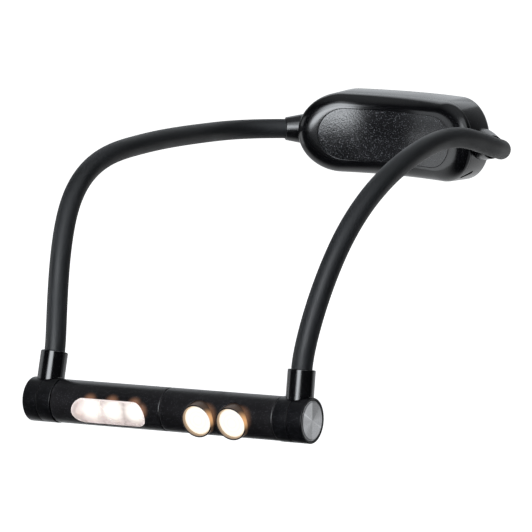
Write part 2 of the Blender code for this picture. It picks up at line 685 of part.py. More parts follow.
def make_ferrule(side, name, bar, frame):
    """A ferrule: a deep cup for the sleeve, saddled on the bar, with a hollow stud through it."""
    socket_floor = FERRULE_TOP - FERRULE_SOCKET - GAP
    socket_radius = SLEEVE_RADIUS + GAP
    profile = [
        (FERRULE_STUD_REACH, FERRULE_BORE_RADIUS), (FERRULE_STUD_REACH, FERRULE_RADIUS),
        (FERRULE_TOP - EDGE, FERRULE_RADIUS), (FERRULE_TOP, FERRULE_RADIUS - EDGE),
        (FERRULE_TOP, socket_radius), (socket_floor, socket_radius), (socket_floor, FERRULE_BORE_RADIUS),
    ]
    mesh = turned(f"{name}_ferrule", profile, FERRULE_SIDES)
    ferrule = place(f"{name}_ferrule", mesh, FERRULE_BLACK, frame)
    saddle = rod("saddle", -END_LENGTH, END_LENGTH, END_RADIUS + GAP, SADDLE_SIDES)
    saddle = cutter(f"{name}_saddle", saddle, bar, (side * FERRULE_X, 0, 0))
    stud = rod("stud", 0, FERRULE_TOP, FERRULE_STUD_RADIUS, FERRULE_SIDES)
    boolean(saddle, cutter(f"{name}_stud", stud, frame))
    boolean(ferrule, saddle)


def make_end(side, name, bar, lean):
    """One end of the bar: the fitting, the cap, the ferrule on both, and the button inside."""
    end_frame = pivot(f"{name}_end_frame", bar, (side * SEAM_X, 0, 0), (0, 0, 0 if side > 0 else math.pi))
    lean_frame = pivot(f"{name}_lean", bar, (side * FERRULE_X, 0, 0), (-lean, 0, 0))
    ferrule_frame = pivot(f"{name}_ferrule_frame", lean_frame, (0, 0, 0), (0, -QUARTER, 0))
    start = GAP / 2
    shoulder = FITTING_LENGTH
    spigot = shoulder + SPIGOT_LENGTH
    web = start + WASHER_SEAT + WEB_THICKNESS
    profile = [
        (start, WASHER_SEAT_RADIUS), (start, END_RADIUS - EDGE), (start + EDGE, END_RADIUS),
        (shoulder, END_RADIUS), (shoulder, CAP_BORE_RADIUS - GAP), (spigot, CAP_BORE_RADIUS - GAP),
        (spigot, FITTING_BORE_RADIUS), (web, FITTING_BORE_RADIUS), (web, WEB_BORE_RADIUS),
        (start + WASHER_SEAT, WEB_BORE_RADIUS), (start + WASHER_SEAT, WASHER_SEAT_RADIUS),
    ]
    mesh = turned(f"{name}_end_fitting", profile, BAR_SIDES)
    fitting = place(f"{name}_end_fitting", mesh, ANODISED_BLACK, end_frame)
    profile = [
        (shoulder + GAP, CAP_BORE_RADIUS), (shoulder + GAP, END_RADIUS), (END_LENGTH - EDGE, END_RADIUS),
        (END_LENGTH, END_RADIUS - EDGE), (END_LENGTH, CAP_BORE_RADIUS),
    ]
    mesh = turned(f"{name}_end_cap", profile, BAR_SIDES)
    cap = place(f"{name}_end_cap", mesh, ANODISED_BLACK, end_frame)
    hole_radius = FERRULE_STUD_RADIUS + GAP
    hole = rod("stud_hole", FITTING_BORE_RADIUS - OVERRUN, FERRULE_TOP, hole_radius, FERRULE_SIDES)
    for piece in (fitting, cap):
        boolean(piece, cutter(f"{piece.name}_stud_hole", hole.copy(), ferrule_frame))
    make_ferrule(side, name, bar, ferrule_frame)
    make_button(name, end_frame, spigot)


def make_button(name, frame, spigot):
    """A push button: a metal disc with a stem, over a switch on a round board."""
    face = END_LENGTH - BUTTON_INSET
    back = face - BUTTON_THICKNESS
    radius = CAP_BORE_RADIUS - BUTTON_GAP
    board = spigot - BOARD_THICKNESS - SWITCH_HEIGHT
    floor = board + BOARD_THICKNESS + GAP
    stem_end = floor + 2 * GAP + BUTTON_TRAVEL
    profile = [
        (stem_end, 0), (stem_end, BUTTON_STEM_RADIUS), (back, BUTTON_STEM_RADIUS), (back, radius),
        (face - EDGE, radius), (face, radius - EDGE), (face, 0),
    ]
    place(f"{name}_button", turned(f"{name}_button", profile, BAR_SIDES), BRIGHT_STEEL, frame)
    board_radius = FITTING_BORE_RADIUS - GAP
    mesh = rod(f"{name}_switch_board", board, board + BOARD_THICKNESS, board_radius, BARREL_SIDES)
    place(f"{name}_switch_board", mesh, GREEN_BOARD, frame)
    size = (SWITCH_HEIGHT, SWITCH_SIZE, SWITCH_SIZE)
    mesh = block(f"{name}_switch", size, (floor + SWITCH_HEIGHT / 2, 0, 0))
    switch = place(f"{name}_switch", mesh, SWITCH_BLACK, frame)
    top = floor + SWITCH_HEIGHT + OVERRUN
    hole = rod("switch_hole", floor + GAP, top, BUTTON_STEM_RADIUS + GAP, SMALL_SIDES)
    boolean(switch, cutter(f"{name}_switch_hole", hole, frame))


def make_flood_head(bar):
    """The flood head: a tube with its window, a curved lens, a bright tray and three LEDs."""
    turn = pivot("flood_head_turn", bar, (0, 0, 0), (FLOOD_AIM, 0, 0))
    at = (WINDOW_X, 0, 0)
    mesh = turned("flood_head_tube", head_profile(GAP / 2 - SEAM_X, -GAP / 2), BAR_SIDES)
    head = place("flood_head_tube", mesh, ANODISED_BLACK, turn)
    past = HEAD_RADIUS + OVERRUN
    window = oval_prism("window", WINDOW_LENGTH, WINDOW_HEIGHT, TRAY_FLOOR, past)
    boolean(head, cutter("window", window, turn, at))
    outer = HEAD_RADIUS - LENS_INSET
    half = WINDOW_LENGTH / 2 + OVERRUN
    mesh = tube("flood_lens", -half, half, outer - LENS_THICKNESS, outer, SADDLE_SIDES)
    lens = place("flood_lens", mesh, CLEAR_LENS, turn, at)
    inner_length = WINDOW_LENGTH - 2 * GAP
    inner_height = WINDOW_HEIGHT - 2 * GAP
    outline = oval_prism("lens_outline", inner_length, inner_height, TRAY_FLOOR, past)
    boolean(lens, cutter("lens_outline", outline, turn, at), "INTERSECT")
    length = WINDOW_LENGTH + 2 * TRAY_FLANGE
    height = WINDOW_HEIGHT + 2 * TRAY_FLANGE
    mesh = rod("flood_reflector", -length / 2, length / 2, HEAD_RADIUS - HEAD_WALL - GAP, SADDLE_SIDES)
    tray = place("flood_reflector", mesh, SILVERED, turn, at)
    body = oval_prism("tray_body", length, height, TRAY_FLOOR - TRAY_WALL, past)
    boolean(tray, cutter("tray_body", body, turn, at), "INTERSECT")
    hollow = oval_prism("tray_hollow", inner_length, inner_height, TRAY_FLOOR, past, TRAY_TAPER_SHARE)
    boolean(tray, cutter("tray_hollow", hollow, turn, at))
    board_front = TRAY_FLOOR - TRAY_WALL - GAP
    size = (2 * (LED_PITCH + LED_BOARD_MARGIN), BOARD_THICKNESS, LED_BOARD_HEIGHT)
    mesh = block("flood_led_board", size, (0, BOARD_THICKNESS / 2 - board_front, 0))
    place("flood_led_board", mesh, WHITE_BOARD, turn, at)
    size = (LED_SIZE, LED_HEIGHT, LED_SIZE)
    middle = (0, -(board_front + GAP + LED_HEIGHT / 2), 0)
    hole = rod("led_hole", 0, TRAY_FLOOR + GAP, LED_HOLE_RADIUS, SMALL_SIDES)
    for index, name in enumerate(("left", "middle", "right")):
        spot = (WINDOW_X + (index - 1) * LED_PITCH, 0, 0)
        boolean(tray, cutter(f"led_hole_{name}", hole.copy(), turn, spot, (0, 0, -QUARTER)))
        mesh = block(f"flood_led_{name}", size, middle, LED_ROUND)
        place(f"flood_led_{name}", mesh, LED_YELLOW, turn, spot)
    return turn


def make_spot_head(bar):
    """The spot head: a tube with two bored seats, and what each of them holds."""
    turn = pivot("spot_head_turn", bar, (0, 0, 0), (SPOT_AIM, 0, 0))
    mesh = turned("spot_head_tube", head_profile(GAP / 2, SEAM_X - GAP / 2), BAR_SIDES)
    head = place("spot_head_tube", mesh, ANODISED_BLACK, turn)
    for side, name in ((-1, "left_spot"), (1, "right_spot")):
        at = (SPOT_X + side * SPOT_PITCH / 2, 0, 0)
        frame = pivot(f"{name}_frame", turn, at, (0, 0, -QUARTER))
        bore = rod("barrel_bore", 0, BARREL_REACH + OVERRUN, BARREL_RADIUS + GAP, BARREL_SIDES)
        boolean(head, cutter(f"{name}_bore", bore, frame))
        make_spot(name, frame)


def make_spot(name, frame):
    """One spot, out along its frame's X axis: barrel, board, LED, bright cup and lens."""
    inner = BARREL_RADIUS - BARREL_WALL
    face = BARREL_REACH - SPOT_LENS_INSET
    floor = BARREL_BACK + BARREL_FLOOR
    profile = [
        (BARREL_BACK, WIRE_HOLE_RADIUS), (BARREL_BACK, BARREL_RADIUS),
        (BARREL_REACH - EDGE, BARREL_RADIUS), (BARREL_REACH, BARREL_RADIUS - EDGE / 2),
        (BARREL_REACH, BARREL_RADIUS - BARREL_RIM), (face, inner), (floor, inner),
        (floor, WIRE_HOLE_RADIUS),
    ]
    place(f"{name}_barrel", turned(f"{name}_barrel", profile, BARREL_SIDES), ANODISED_BLACK, frame)
    board_front = floor + GAP + BOARD_THICKNESS
    mesh = rod(f"{name}_board", floor + GAP, board_front, inner - GAP, SPOT_SIDES)
    place(f"{name}_board", mesh, WHITE_BOARD, frame)
    size = (LED_HEIGHT, LED_SIZE, LED_SIZE)
    mesh = block(f"{name}_led", size, (board_front + GAP + LED_HEIGHT / 2, 0, 0), LED_ROUND)
    place(f"{name}_led", mesh, LED_YELLOW, frame)
    rim_back = face - SPOT_LENS_RIM
    tail = face - SPOT_LENS_DEPTH
    radius = inner - GAP
    waist = radius - CUP_WALL - GAP
    profile = [
        (tail, 0), (tail, SPOT_LENS_TAIL_RADIUS), (rim_back - GAP, waist), (rim_back, radius),
        (face, radius), (face + SPOT_LENS_DOME, 0),
    ]
    place(f"{name}_lens", turned(f"{name}_lens", profile, SPOT_SIDES), CLEAR_LENS, frame)
    profile = [
        (board_front + GAP, SPOT_LENS_TAIL_RADIUS + GAP), (board_front + GAP, radius),
        (rim_back - 2 * GAP, radius), (rim_back - 2 * GAP, radius - CUP_WALL),
        (tail, SPOT_LENS_TAIL_RADIUS + 2 * GAP),
    ]
    place(f"{name}_cup", turned(f"{name}_cup", profile, SPOT_SIDES), SILVERED, frame)


def make_pack():
    """The battery pack behind the neck."""
    make_front_shell()
    rear_shell = make_rear_shell()
    make_screws()
    make_neck_pad()
    make_cell()
    make_socket(rear_shell)
    make_relief(-1, "left_strain_relief", rear_shell)
    make_relief(1, "right_strain_relief", rear_shell)


def make_loop():
    """The loop that tilts on the pack: both arms, and the bar with its heads and buttons."""
    tilt = pivot("arms_tilt", None, (0, root_y(), 0))
    bar_place = (BAR_SHIFT, -ARM_REACH, -ARM_DROP)
    bar_tilt = pivot("bar_tilt", tilt, bar_place, (BAR_TILT, 0, 0))
    bar = pivot("bar_frame", bar_tilt, (0, 0, 0), (0, BAR_ROLL, 0))
    bar_turn = Matrix.Rotation(BAR_TILT, 4, "X") @ Matrix.Rotation(BAR_ROLL, 4, "Y")
    bar_matrix = Matrix.Translation(bar_place) @ bar_turn
    make_arm(-1, "left_arm", tilt, bar_matrix, LEFT_ARM_SHARES, LEFT_LEAN, LEFT_FOOT_STRAIGHT,
             LEFT_ROOT_STRAIGHT)
    make_arm(1, "right_arm", tilt, bar_matrix, RIGHT_ARM_SHARES, RIGHT_LEAN, RIGHT_FOOT_STRAIGHT,
             RIGHT_ROOT_STRAIGHT)
    make_end(-1, "left", bar, LEFT_LEAN)
    make_end(1, "right", bar, RIGHT_LEAN)
    flood_head = make_flood_head(bar)
    make_spot_head(bar)
    make_rivet("left", -SEAM_X, bar)
    make_rivet("middle", 0, flood_head)
    make_rivet("right", SEAM_X, bar)


for old in list(bpy.data.objects):
    bpy.data.objects.remove(old)
make_pack()
make_loop()
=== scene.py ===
"""Neck reading light: its looks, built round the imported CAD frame.

It follows the light as it is put together: the studio, the battery pack behind the neck, the two
gooseneck arms, and the front bar with its ends and its two lamp heads. Sizes are in millimetres in
the CAD frame (the origin is the middle of the neck pad's face, +X runs along the pack, -Y towards
the bar, +Z up) and become metres in the mesh.
"""
from math import acos, cos, pi, radians, sin, sqrt

import bmesh
import bpy
import numpy as np
from mathutils import Matrix, Vector


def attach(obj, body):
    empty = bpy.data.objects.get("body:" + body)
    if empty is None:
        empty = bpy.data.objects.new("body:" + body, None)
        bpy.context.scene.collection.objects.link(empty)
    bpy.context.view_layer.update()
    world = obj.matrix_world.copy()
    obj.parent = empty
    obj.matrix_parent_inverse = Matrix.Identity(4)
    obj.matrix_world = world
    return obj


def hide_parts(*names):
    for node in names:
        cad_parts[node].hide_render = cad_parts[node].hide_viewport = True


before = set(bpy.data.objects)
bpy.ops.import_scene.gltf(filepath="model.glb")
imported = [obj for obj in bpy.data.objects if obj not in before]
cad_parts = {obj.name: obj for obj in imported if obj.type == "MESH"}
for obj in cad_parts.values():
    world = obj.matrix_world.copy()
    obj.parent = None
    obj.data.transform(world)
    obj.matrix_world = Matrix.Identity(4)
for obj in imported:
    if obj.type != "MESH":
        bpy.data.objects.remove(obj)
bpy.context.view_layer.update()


# Camera: where the photograph was taken from, in front of the light, to its right and a little
# above it, with a long lens.
CAMERA_PLACE = (1.0528, -1.8849, 0.2629)
CAMERA_TURN = (
    (0.85706, -0.09347, 0.50667),
    (0.5149, 0.12052, -0.84874),
    (0.01826, 0.9883, 0.15142),
)
CAMERA_LENS = 288.0

scene = bpy.context.scene


def stand(name, data):
    """A new object that shows data in the scene."""
    thing = bpy.data.objects.new(name, data)
    scene.collection.objects.link(thing)
    return thing


scene.camera = stand("camera", bpy.data.cameras.new("camera"))
scene.camera.data.lens = CAMERA_LENS
scene.camera.matrix_world = Matrix.Translation(CAMERA_PLACE) @ Matrix(CAMERA_TURN).to_4x4()
scene.view_settings.view_transform = "Standard"


# Studio: a pale floor well under the light, with a black cloth on the camera's side of it that keeps
# the black parts black, and soft boxes round it. The world is white to the camera, almost dark to
# matt parts, and shows polished parts and lenses the patches of light below.
FLOOR_Z = -0.3
FLOOR_HALF = 8.0
FLOOR_COLOUR = (0.86, 0.86, 0.86)
FLOOR_LIFT = (0.8, 1.1)  # beside the light and far behind it
FLOOR_FADE = (0.4, 1.6)  # how far from the middle the lift changes
FLOOR_SHINE = 0.6  # how much of the lift polished parts mirror
CLOTH_WAY = (0.707, -0.707, 0.0)
CLOTH_FADE = (-0.13, 0.06)  # how far along that way the cloth begins
CLOTH_SHADE = (0.03, 0.03, 0.03)
AMBIENT_LIGHT = 0.03
DAYLIGHT = (0.92, 0.96, 1.0)
WHITE = (1.0, 1.0, 1.0)
# Patches: the way to the middle of each soft patch of light, the cosines from it at which the patch
# ends and is full, and its level.
MIRRORED = (
    ((-0.513, 0.858, -0.05), 0.66, 0.99, 0.95),  # a white sweep behind
    ((-0.513, 0.858, 0.0), 0.1, 0.98, 0.4),  # its dimmer wings
    ((0.0, 0.0, 1.0), 0.6, 0.97, 0.45),  # the ceiling
)
# The key box as glossy parts mirror it: its soft lower half, its upper half and the box above it.
KEY_MIRRORED = (
    ((0.104, -0.992, 0.07), 0.962, 0.994, 14.0),
    ((0.159, -0.9, 0.407), 0.93, 0.992, 13.0),
    ((0.171, -0.686, 0.707), 0.935, 0.996, 3.5),
)
# Soft boxes: name, place, the point that each faces, width, height, power in watts, and whether
# polished parts mirror the lamp itself.
SOFT_BOXES = (
    ("key_box", (0.03, -1.65, 0.42), (0.0, -0.1, -0.03), 0.5, 1.02, 27.0, False),
    ("left_card", (-0.39, -0.25, -0.03), (0.045, 0.0, 0.0), 0.22, 0.4, 0.36, True),
    ("top_box", (0.8, -0.5, 1.45), (0.0, -0.1, -0.03), 1.7, 1.2, 10.0, True),
    ("disc_card", (0.235, 0.06, -0.15), (0.08, -0.21, -0.11), 0.26, 0.26, 0.07, True),
    ("back_box", (-0.75, 1.3, 1.05), (0.0, -0.1, -0.03), 1.5, 0.7, 3.0, True),
)


def feed(node, inputs):
    """Set a node's inputs, each to a value, to a colour's three numbers or to another node's socket."""
    for key, value in inputs.items():
        socket = node.inputs[key]
        if isinstance(value, bpy.types.NodeSocket):
            node.id_data.links.new(value, socket)
        else:
            socket.default_value = (*value, 1.0) if socket.type == "RGBA" else value


def add(tree, kind, inputs=None, **settings):
    """Add a shader node with its settings and its inputs."""
    node = tree.nodes.new("ShaderNode" + kind)
    for name, value in settings.items():
        setattr(node, name, value)
    feed(node, inputs or {})
    return node


def home(*values):
    """The node tree of the first socket among the values."""
    return next(value.id_data for value in values if isinstance(value, bpy.types.NodeSocket))


def maths(operation, *values):
    """The result of a Math node on sockets and numbers."""
    return add(home(*values), "Math", dict(enumerate(values)), operation=operation).outputs[0]


def ramp(value, low, high, to_low=0.0, to_high=1.0):
    """A smooth step from to_low to to_high as the value goes from low to high."""
    inputs = {"Value": value, "From Min": low, "From Max": high, "To Min": to_low, "To Max": to_high}
    return add(value.id_data, "MapRange", inputs, interpolation_type="SMOOTHSTEP").outputs["Result"]


def mixed(share, first, second, blend="MIX"):
    """The colour output of a Mix node, whose inputs 6 and 7 are its two colours."""
    inputs = {"Factor": share, 6: first, 7: second}
    return add(home(share, first, second), "Mix", inputs, data_type="RGBA", blend_type=blend).outputs[2]


def ray_masks(tree):
    """The camera's rays, glossy rays, and rays that leave a polished part or come through a lens."""
    rays = add(tree, "LightPath").outputs
    glossy = rays["Is Glossy Ray"]
    return rays["Is Camera Ray"], glossy, maths("MAXIMUM", glossy, rays["Is Transmission Ray"])


def brightest(tree, patches):
    """The strongest of the patches of light at the way that a ray leaves."""
    way, most = add(tree, "TexCoord").outputs["Generated"], 0.0
    for middle, end, full, level in patches:
        facing = add(tree, "VectorMath", {0: way, 1: Vector(middle).normalized()}, operation="DOT_PRODUCT")
        most = maths("MAXIMUM", most, ramp(facing.outputs["Value"], end, full, 0.0, level))
    return most


def new_material(name):
    """A material that uses nodes."""
    finish = bpy.data.materials.new(name)
    finish.use_nodes = True
    return finish


def shade(finish, inputs):
    """Set inputs of a material's Principled shader."""
    feed(finish.node_tree.nodes["Principled BSDF"], inputs)
    return finish


scene.world = bpy.data.worlds.new("studio")
scene.world.use_nodes = True
tree = scene.world.node_tree
to_camera, glossy, polished = ray_masks(tree)
level = maths("MAXIMUM", AMBIENT_LIGHT, maths("MULTIPLY", polished, brightest(tree, MIRRORED)))
level = maths("MAXIMUM", level, maths("MULTIPLY", glossy, brightest(tree, KEY_MIRRORED)))
level = maths("MAXIMUM", level, to_camera)
feed(tree.nodes["Background"], {"Strength": level, "Color": mixed(to_camera, DAYLIGHT, WHITE)})

floor_mesh = bpy.data.meshes.new("floor")
corners = [(x * FLOOR_HALF, y * FLOOR_HALF, FLOOR_Z) for x, y in ((-1, -1), (1, -1), (1, 1), (-1, 1))]
floor_mesh.from_pydata(corners, [], [(0, 1, 2, 3)])
floor_paint = new_material("floor_paint")
tree = floor_paint.node_tree
to_camera, glossy, polished = ray_masks(tree)
point = add(tree, "TexCoord").outputs["Object"]
out = add(tree, "VectorMath", {0: point}, operation="LENGTH").outputs["Value"]
along = add(tree, "VectorMath", {0: point, 1: CLOTH_WAY}, operation="DOT_PRODUCT").outputs["Value"]
on_cloth = ramp(along, *CLOTH_FADE)
bare = maths("MULTIPLY", polished, maths("SUBTRACT", 1.0, on_cloth))
shown = maths("MAXIMUM", to_camera, maths("MULTIPLY", bare, FLOOR_SHINE))
shade(floor_paint, {
    "Base Color": mixed(maths("MULTIPLY", glossy, on_cloth), FLOOR_COLOUR, CLOTH_SHADE),
    "Roughness": 0.9, "Specular IOR Level": 0.0, "Emission Color": WHITE,
    "Emission Strength": maths("MULTIPLY", shown, ramp(out, *FLOOR_FADE, *FLOOR_LIFT)),
})
floor_mesh.materials.append(floor_paint)
floor = stand("floor", floor_mesh)

for name, place, target, width, height, power, mirror in SOFT_BOXES:
    lamp = bpy.data.lights.new(name, "AREA")
    lamp.shape = "RECTANGLE"
    lamp.size, lamp.size_y, lamp.energy, lamp.color = width, height, power, DAYLIGHT
    box = stand(name, lamp)
    box.location = place
    box.visible_glossy = mirror
    box.visible_camera = False
    box.rotation_euler = (Vector(target) - Vector(place)).to_track_quat("-Z", "Y").to_euler()


# Battery pack, front shell: a moulded black shell with a wide rounded border, bent to the neck's
# curve, with the pad's recess in its face and four screw bosses behind. It snaps to the rear shell.
MM = 0.001
GAP = 0.3  # between two pieces that touch
JOINT_GAP = 0.1  # between the two shells' snapped edges
WELD = 0.002  # points this near are one
PACK_LENGTH = 101.2
PACK_HEIGHT = 41.2
NECK_RADIUS = 95.0
MIDDLE_X = 4.99  # half the flat strip in the pad's middle
FACE_RISE = 9.0  # from the shells' joint forward to the pad's face
PACK_WALL = 1.8
PAD_LENGTH = 76.3
PAD_HEIGHT = 26.4
RECESS_DEPTH = 1.9
SHELL_EDGE = 0.14  # rounding of the moulded edges at the joint
LIP_EDGE = 0.15  # rounding where the border turns into the recess
BORDER_WIDTH = (PACK_HEIGHT - PAD_HEIGHT) / 2
BOSS_RADIUS = 2.6
BOSS_END = 23.59  # where the bosses stop, along Y
BOSS_BORE = 1.2
BOSS_DEPTH = 5.3  # of the bores
SCREWS = [(x, z) for x in (-22.0, 22.0) for z in (-14.0, 14.0)]
SHELL_SHARP = 38
TONE_SPREAD = (0.3, 0.7)  # the part of the grain's slow cloud over which a finish changes
SHELL_TONES = ((0.0014, 0.0014, 0.0018), (0.0026, 0.0026, 0.0032))


def oval_skin(rings, bend, straight_steps=44, arc_steps=56):
    """Stadium rings (length, height, depth) joined into one skin.

    A point is x = c * straight + radius * cos a, z = radius * sin a: c goes from 1 to -1 and back on
    the straight sides, and a turns round the ends. bend gives y from x, z and depth. The last point
    repeats the first.
    """
    line = np.linspace(1, -1, straight_steps, endpoint=False)
    arc = np.linspace(0, pi, arc_steps, endpoint=False)
    c = np.r_[line, -np.ones(arc_steps), -line, np.ones(arc_steps), 1]
    side = np.full(straight_steps, pi / 2)
    turn = np.r_[side, pi / 2 + arc, -side, -pi / 2 + arc, pi / 2]
    length, height, depth = np.asarray(rings, float).T[:, :, None]
    x = c * (length - height) / 2 + np.cos(turn) * height / 2
    z = np.sin(turn) * height / 2
    return np.stack([x, bend(x, z, depth), z], axis=-1)


def round_neck(x, z, depth):
    """A pack point's y: its depth less the rise of the neck's circle at x past the flat strip."""
    return depth - (sqrt(NECK_RADIUS ** 2 - MIDDLE_X ** 2) - np.sqrt(NECK_RADIUS ** 2 - x ** 2))


def shrunk(length, height, depth, steps):
    """Rings (length, height, depth) from a stadium in to its middle line."""
    return [(length - height + height * s, height * s, depth) for s in np.linspace(1, 0, steps)]


def edge_rings(length, height, depth, out, down):
    """Rings of a rounded stadium edge, a quarter circle that goes out and down to its full size."""
    return [(length + 2 * out * (1 - sin(a)), height + 2 * out * (1 - sin(a)),
             depth + down * (1 - cos(a))) for a in np.linspace(0, pi / 2, 5)]


def border_rings(wall, back, front, inward_end):
    """The border's rings from the joint to the recess: a quarter ellipse, set in by the wall."""
    inward = BORDER_WIDTH * (1 - np.cos(np.linspace(0, pi / 2, 25)))
    inward = np.append(inward[inward <= inward_end], inward_end)
    rise = np.sqrt(1 - (1 - inward / BORDER_WIDTH) ** 2)
    length = PACK_LENGTH - (PACK_LENGTH - PAD_LENGTH) * inward / BORDER_WIDTH - 2 * wall
    return list(zip(length, PACK_HEIGHT - 2 * inward - 2 * wall, back - (back - front) * rise))


def mesh_of(*grids):
    """A closed mesh from grids of points, rows by columns, in millimetres.

    Four neighbours make a face, points that fall together are welded, and UVMap holds each
    corner's share of the way along the columns and along the rows.
    """
    points, faces, shares, first = [], [], [], 0
    for grid in grids:
        rows, columns = grid.shape[:2]
        index = first + np.arange(rows * columns).reshape(rows, columns)
        corners = (index[:-1, :-1], index[:-1, 1:], index[1:, 1:], index[1:, :-1])
        faces.append(np.stack(corners, axis=-1).reshape(-1, 4))
        share = np.stack(np.meshgrid(np.linspace(0, 1, columns), np.linspace(0, 1, rows)), axis=-1)
        shares.append(share.reshape(-1, 2))
        points.append(grid.reshape(-1, 3))
        first += rows * columns
    faces = np.concatenate(faces)
    mesh = bpy.data.meshes.new("skin")
    mesh.from_pydata((np.concatenate(points) * MM).tolist(), [], faces.tolist())
    layer = mesh.uv_layers.new(name="UVMap")
    layer.data.foreach_set("uv", np.concatenate(shares)[faces.ravel()].astype(np.float32).ravel())
    bm = bmesh.new()
    bm.from_mesh(mesh)
    bmesh.ops.remove_doubles(bm, verts=bm.verts, dist=WELD * MM)
    bmesh.ops.recalc_face_normals(bm, faces=bm.faces)
    bm.to_mesh(mesh)
    bm.free()
    return mesh


def carved(mesh, cut, joined=(), common=()):
    """The mesh after exact Booleans: its common part with some tools, joined to others, less others."""
    blank = stand("blank", mesh)
    things = [blank]
    for operation, tools in (("INTERSECT", common), ("UNION", joined), ("DIFFERENCE", cut)):
        for tool in tools:
            things.append(stand("tool", tool))
            step = blank.modifiers.new("step", "BOOLEAN")
            step.operation, step.solver, step.object = operation, "EXACT", things[-1]
    bpy.context.view_layer.update()
    result = bpy.data.meshes.new_from_object(blank.evaluated_get(bpy.context.evaluated_depsgraph_get()))
    for thing in things:
        bpy.data.objects.remove(thing)
    return result


def turned(profile, sides):
    """A profile of (along, radius) points carried round the X axis.

    The point at angle a is (along, radius * cos a, radius * sin a). The last angle repeats the first.
    """
    along, radius = np.asarray(profile, float).T[:, :, None]
    turn = np.linspace(0, 2 * pi, sides + 1)
    return np.stack([along + 0 * turn, radius * np.cos(turn), radius * np.sin(turn)], axis=-1)


def turning(axis, degrees):
    """A turn about an axis as a 3 by 3 array."""
    return np.array(Matrix.Rotation(radians(degrees), 3, axis))


def placed(points, turn, place):
    """The points turned and then moved."""
    return np.asarray(points, float) @ turn.T + place


def lathed(profile, turn, place, sides=96):
    """The mesh of a profile carried round its axis, turned and placed."""
    return mesh_of(placed(turned(profile, sides), turn, place))


def rod(start, end, radius, turn, place, sides=48):
    """A plain round tool along the X axis, turned and placed."""
    return lathed([(start, 0), (start, radius), (end, radius), (end, 0)], turn, place, sides)


def show(name, mesh, finish, body, node, sharp=SHELL_SHARP):
    """Show a mesh as the piece that stands for a CAD node and moves with its body."""
    mesh.name = name
    mesh.shade_smooth()
    mesh.set_sharp_from_angle(angle=radians(sharp))
    mesh.materials.clear()
    mesh.materials.append(finish)
    thing = stand(name, mesh)
    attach(thing, body)
    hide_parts(node)


def noise(tree, scale, detail=2.0):
    """Noise in Object coordinates, with its scale in features to a metre."""
    place = add(tree, "TexCoord").outputs["Object"]
    return add(tree, "TexNoise", {"Vector": place, "Scale": scale, "Detail": detail}).outputs["Fac"]


def new_group(name, inputs, outputs):
    """A node group, the sockets that its inputs give and the sockets that its outputs take."""
    group = bpy.data.node_groups.new(name, "ShaderNodeTree")
    for socket, kind in inputs:
        group.interface.new_socket(socket, in_out="INPUT", socket_type="NodeSocket" + kind)
    for socket in outputs:
        group.interface.new_socket(socket, in_out="OUTPUT", socket_type="NodeSocketFloat")
    return group, group.nodes.new("NodeGroupInput").outputs, group.nodes.new("NodeGroupOutput")


# The grain group: moulded or blasted grain. Height is fine noise over coarser noise, Tone is a slow
# cloud, and Glint marks the share of the coarse grains that get a painted glint.
GRAIN, given, result = new_group(
    "grain", [("Fine Scale", "Float"), ("Coarse Scale", "Float"), ("Glint Share", "Float")],
    ["Height", "Tone", "Glint"])
fine, coarse = noise(GRAIN, given["Fine Scale"]), noise(GRAIN, given["Coarse Scale"], 3.0)
place = add(GRAIN, "TexCoord").outputs["Object"]
cells = add(GRAIN, "TexVoronoi", {"Vector": place, "Scale": given["Coarse Scale"]})
chance = add(GRAIN, "SeparateColor", {"Color": cells.outputs["Color"]}).outputs[0]
lucky = maths("LESS_THAN", chance, given["Glint Share"])
feed(result, {
    "Height": maths("MULTIPLY_ADD", coarse, 0.6, fine), "Tone": noise(GRAIN, 38.0, 3.0),
    "Glint": maths("MULTIPLY", lucky, ramp(cells.outputs["Distance"], 0.15, 0.45, 1.0, 0.0)),
})


def grained(name, tones, roughs, grain, bump, metallic=0.0, specular=0.5, painted_glints=0.0):
    """A material with the grain laid over it.

    Its colour runs between the first two tones and its roughness between the roughs, and the grains
    that Glint marks take the third tone as a painted glint. grain is the fine and coarse grains in
    a metre, and bump is the relief's strength and its depth in millimetres.
    """
    finish = new_material(name)
    tree = finish.node_tree
    scales = {"Fine Scale": grain[0], "Coarse Scale": grain[1], "Glint Share": painted_glints}
    laid = add(tree, "Group", scales, node_tree=GRAIN).outputs
    colour = mixed(ramp(laid["Tone"], *TONE_SPREAD), *tones[:2])
    if painted_glints:
        colour = mixed(laid["Glint"], colour, tones[2])
    relief = add(tree, "Bump", {"Strength": bump[0], "Distance": bump[1] * MM, "Height": laid["Height"]})
    return shade(finish, {
        "Base Color": colour, "Roughness": ramp(laid["Tone"], *TONE_SPREAD, *roughs),
        "Metallic": metallic, "Specular IOR Level": specular, "Normal": relief.outputs["Normal"]})


shell_finish = grained("pack_black_moulding", SHELL_TONES, (0.16, 0.21), (2600, 900), (0.2, 0.03))
inner_border = border_rings(PACK_WALL, FACE_RISE, RECESS_DEPTH + PACK_WALL, BORDER_WIDTH)
front_mesh = mesh_of(oval_skin(
    shrunk(*inner_border[-1], 8)[::-1] + inner_border[::-1]
    + edge_rings(PACK_LENGTH, PACK_HEIGHT, FACE_RISE, -SHELL_EDGE, -SHELL_EDGE)
    + border_rings(0, FACE_RISE, 0, BORDER_WIDTH - LIP_EDGE)[1:]
    + edge_rings(PAD_LENGTH, PAD_HEIGHT, 0, LIP_EDGE, LIP_EDGE)
    + shrunk(PAD_LENGTH, PAD_HEIGHT, RECESS_DEPTH, 8), round_neck))
into_pack = turning("Z", 90)
bosses, bores = [], []
for x, z in SCREWS:
    start = float(round_neck(x, z, RECESS_DEPTH + PACK_WALL / 2))
    bosses.append(rod(start, BOSS_END, BOSS_RADIUS, into_pack, (x, 0, z), 32))
    bores.append(rod(BOSS_END - BOSS_DEPTH, BOSS_END + 1, BOSS_BORE, into_pack, (x, 0, z), 24))
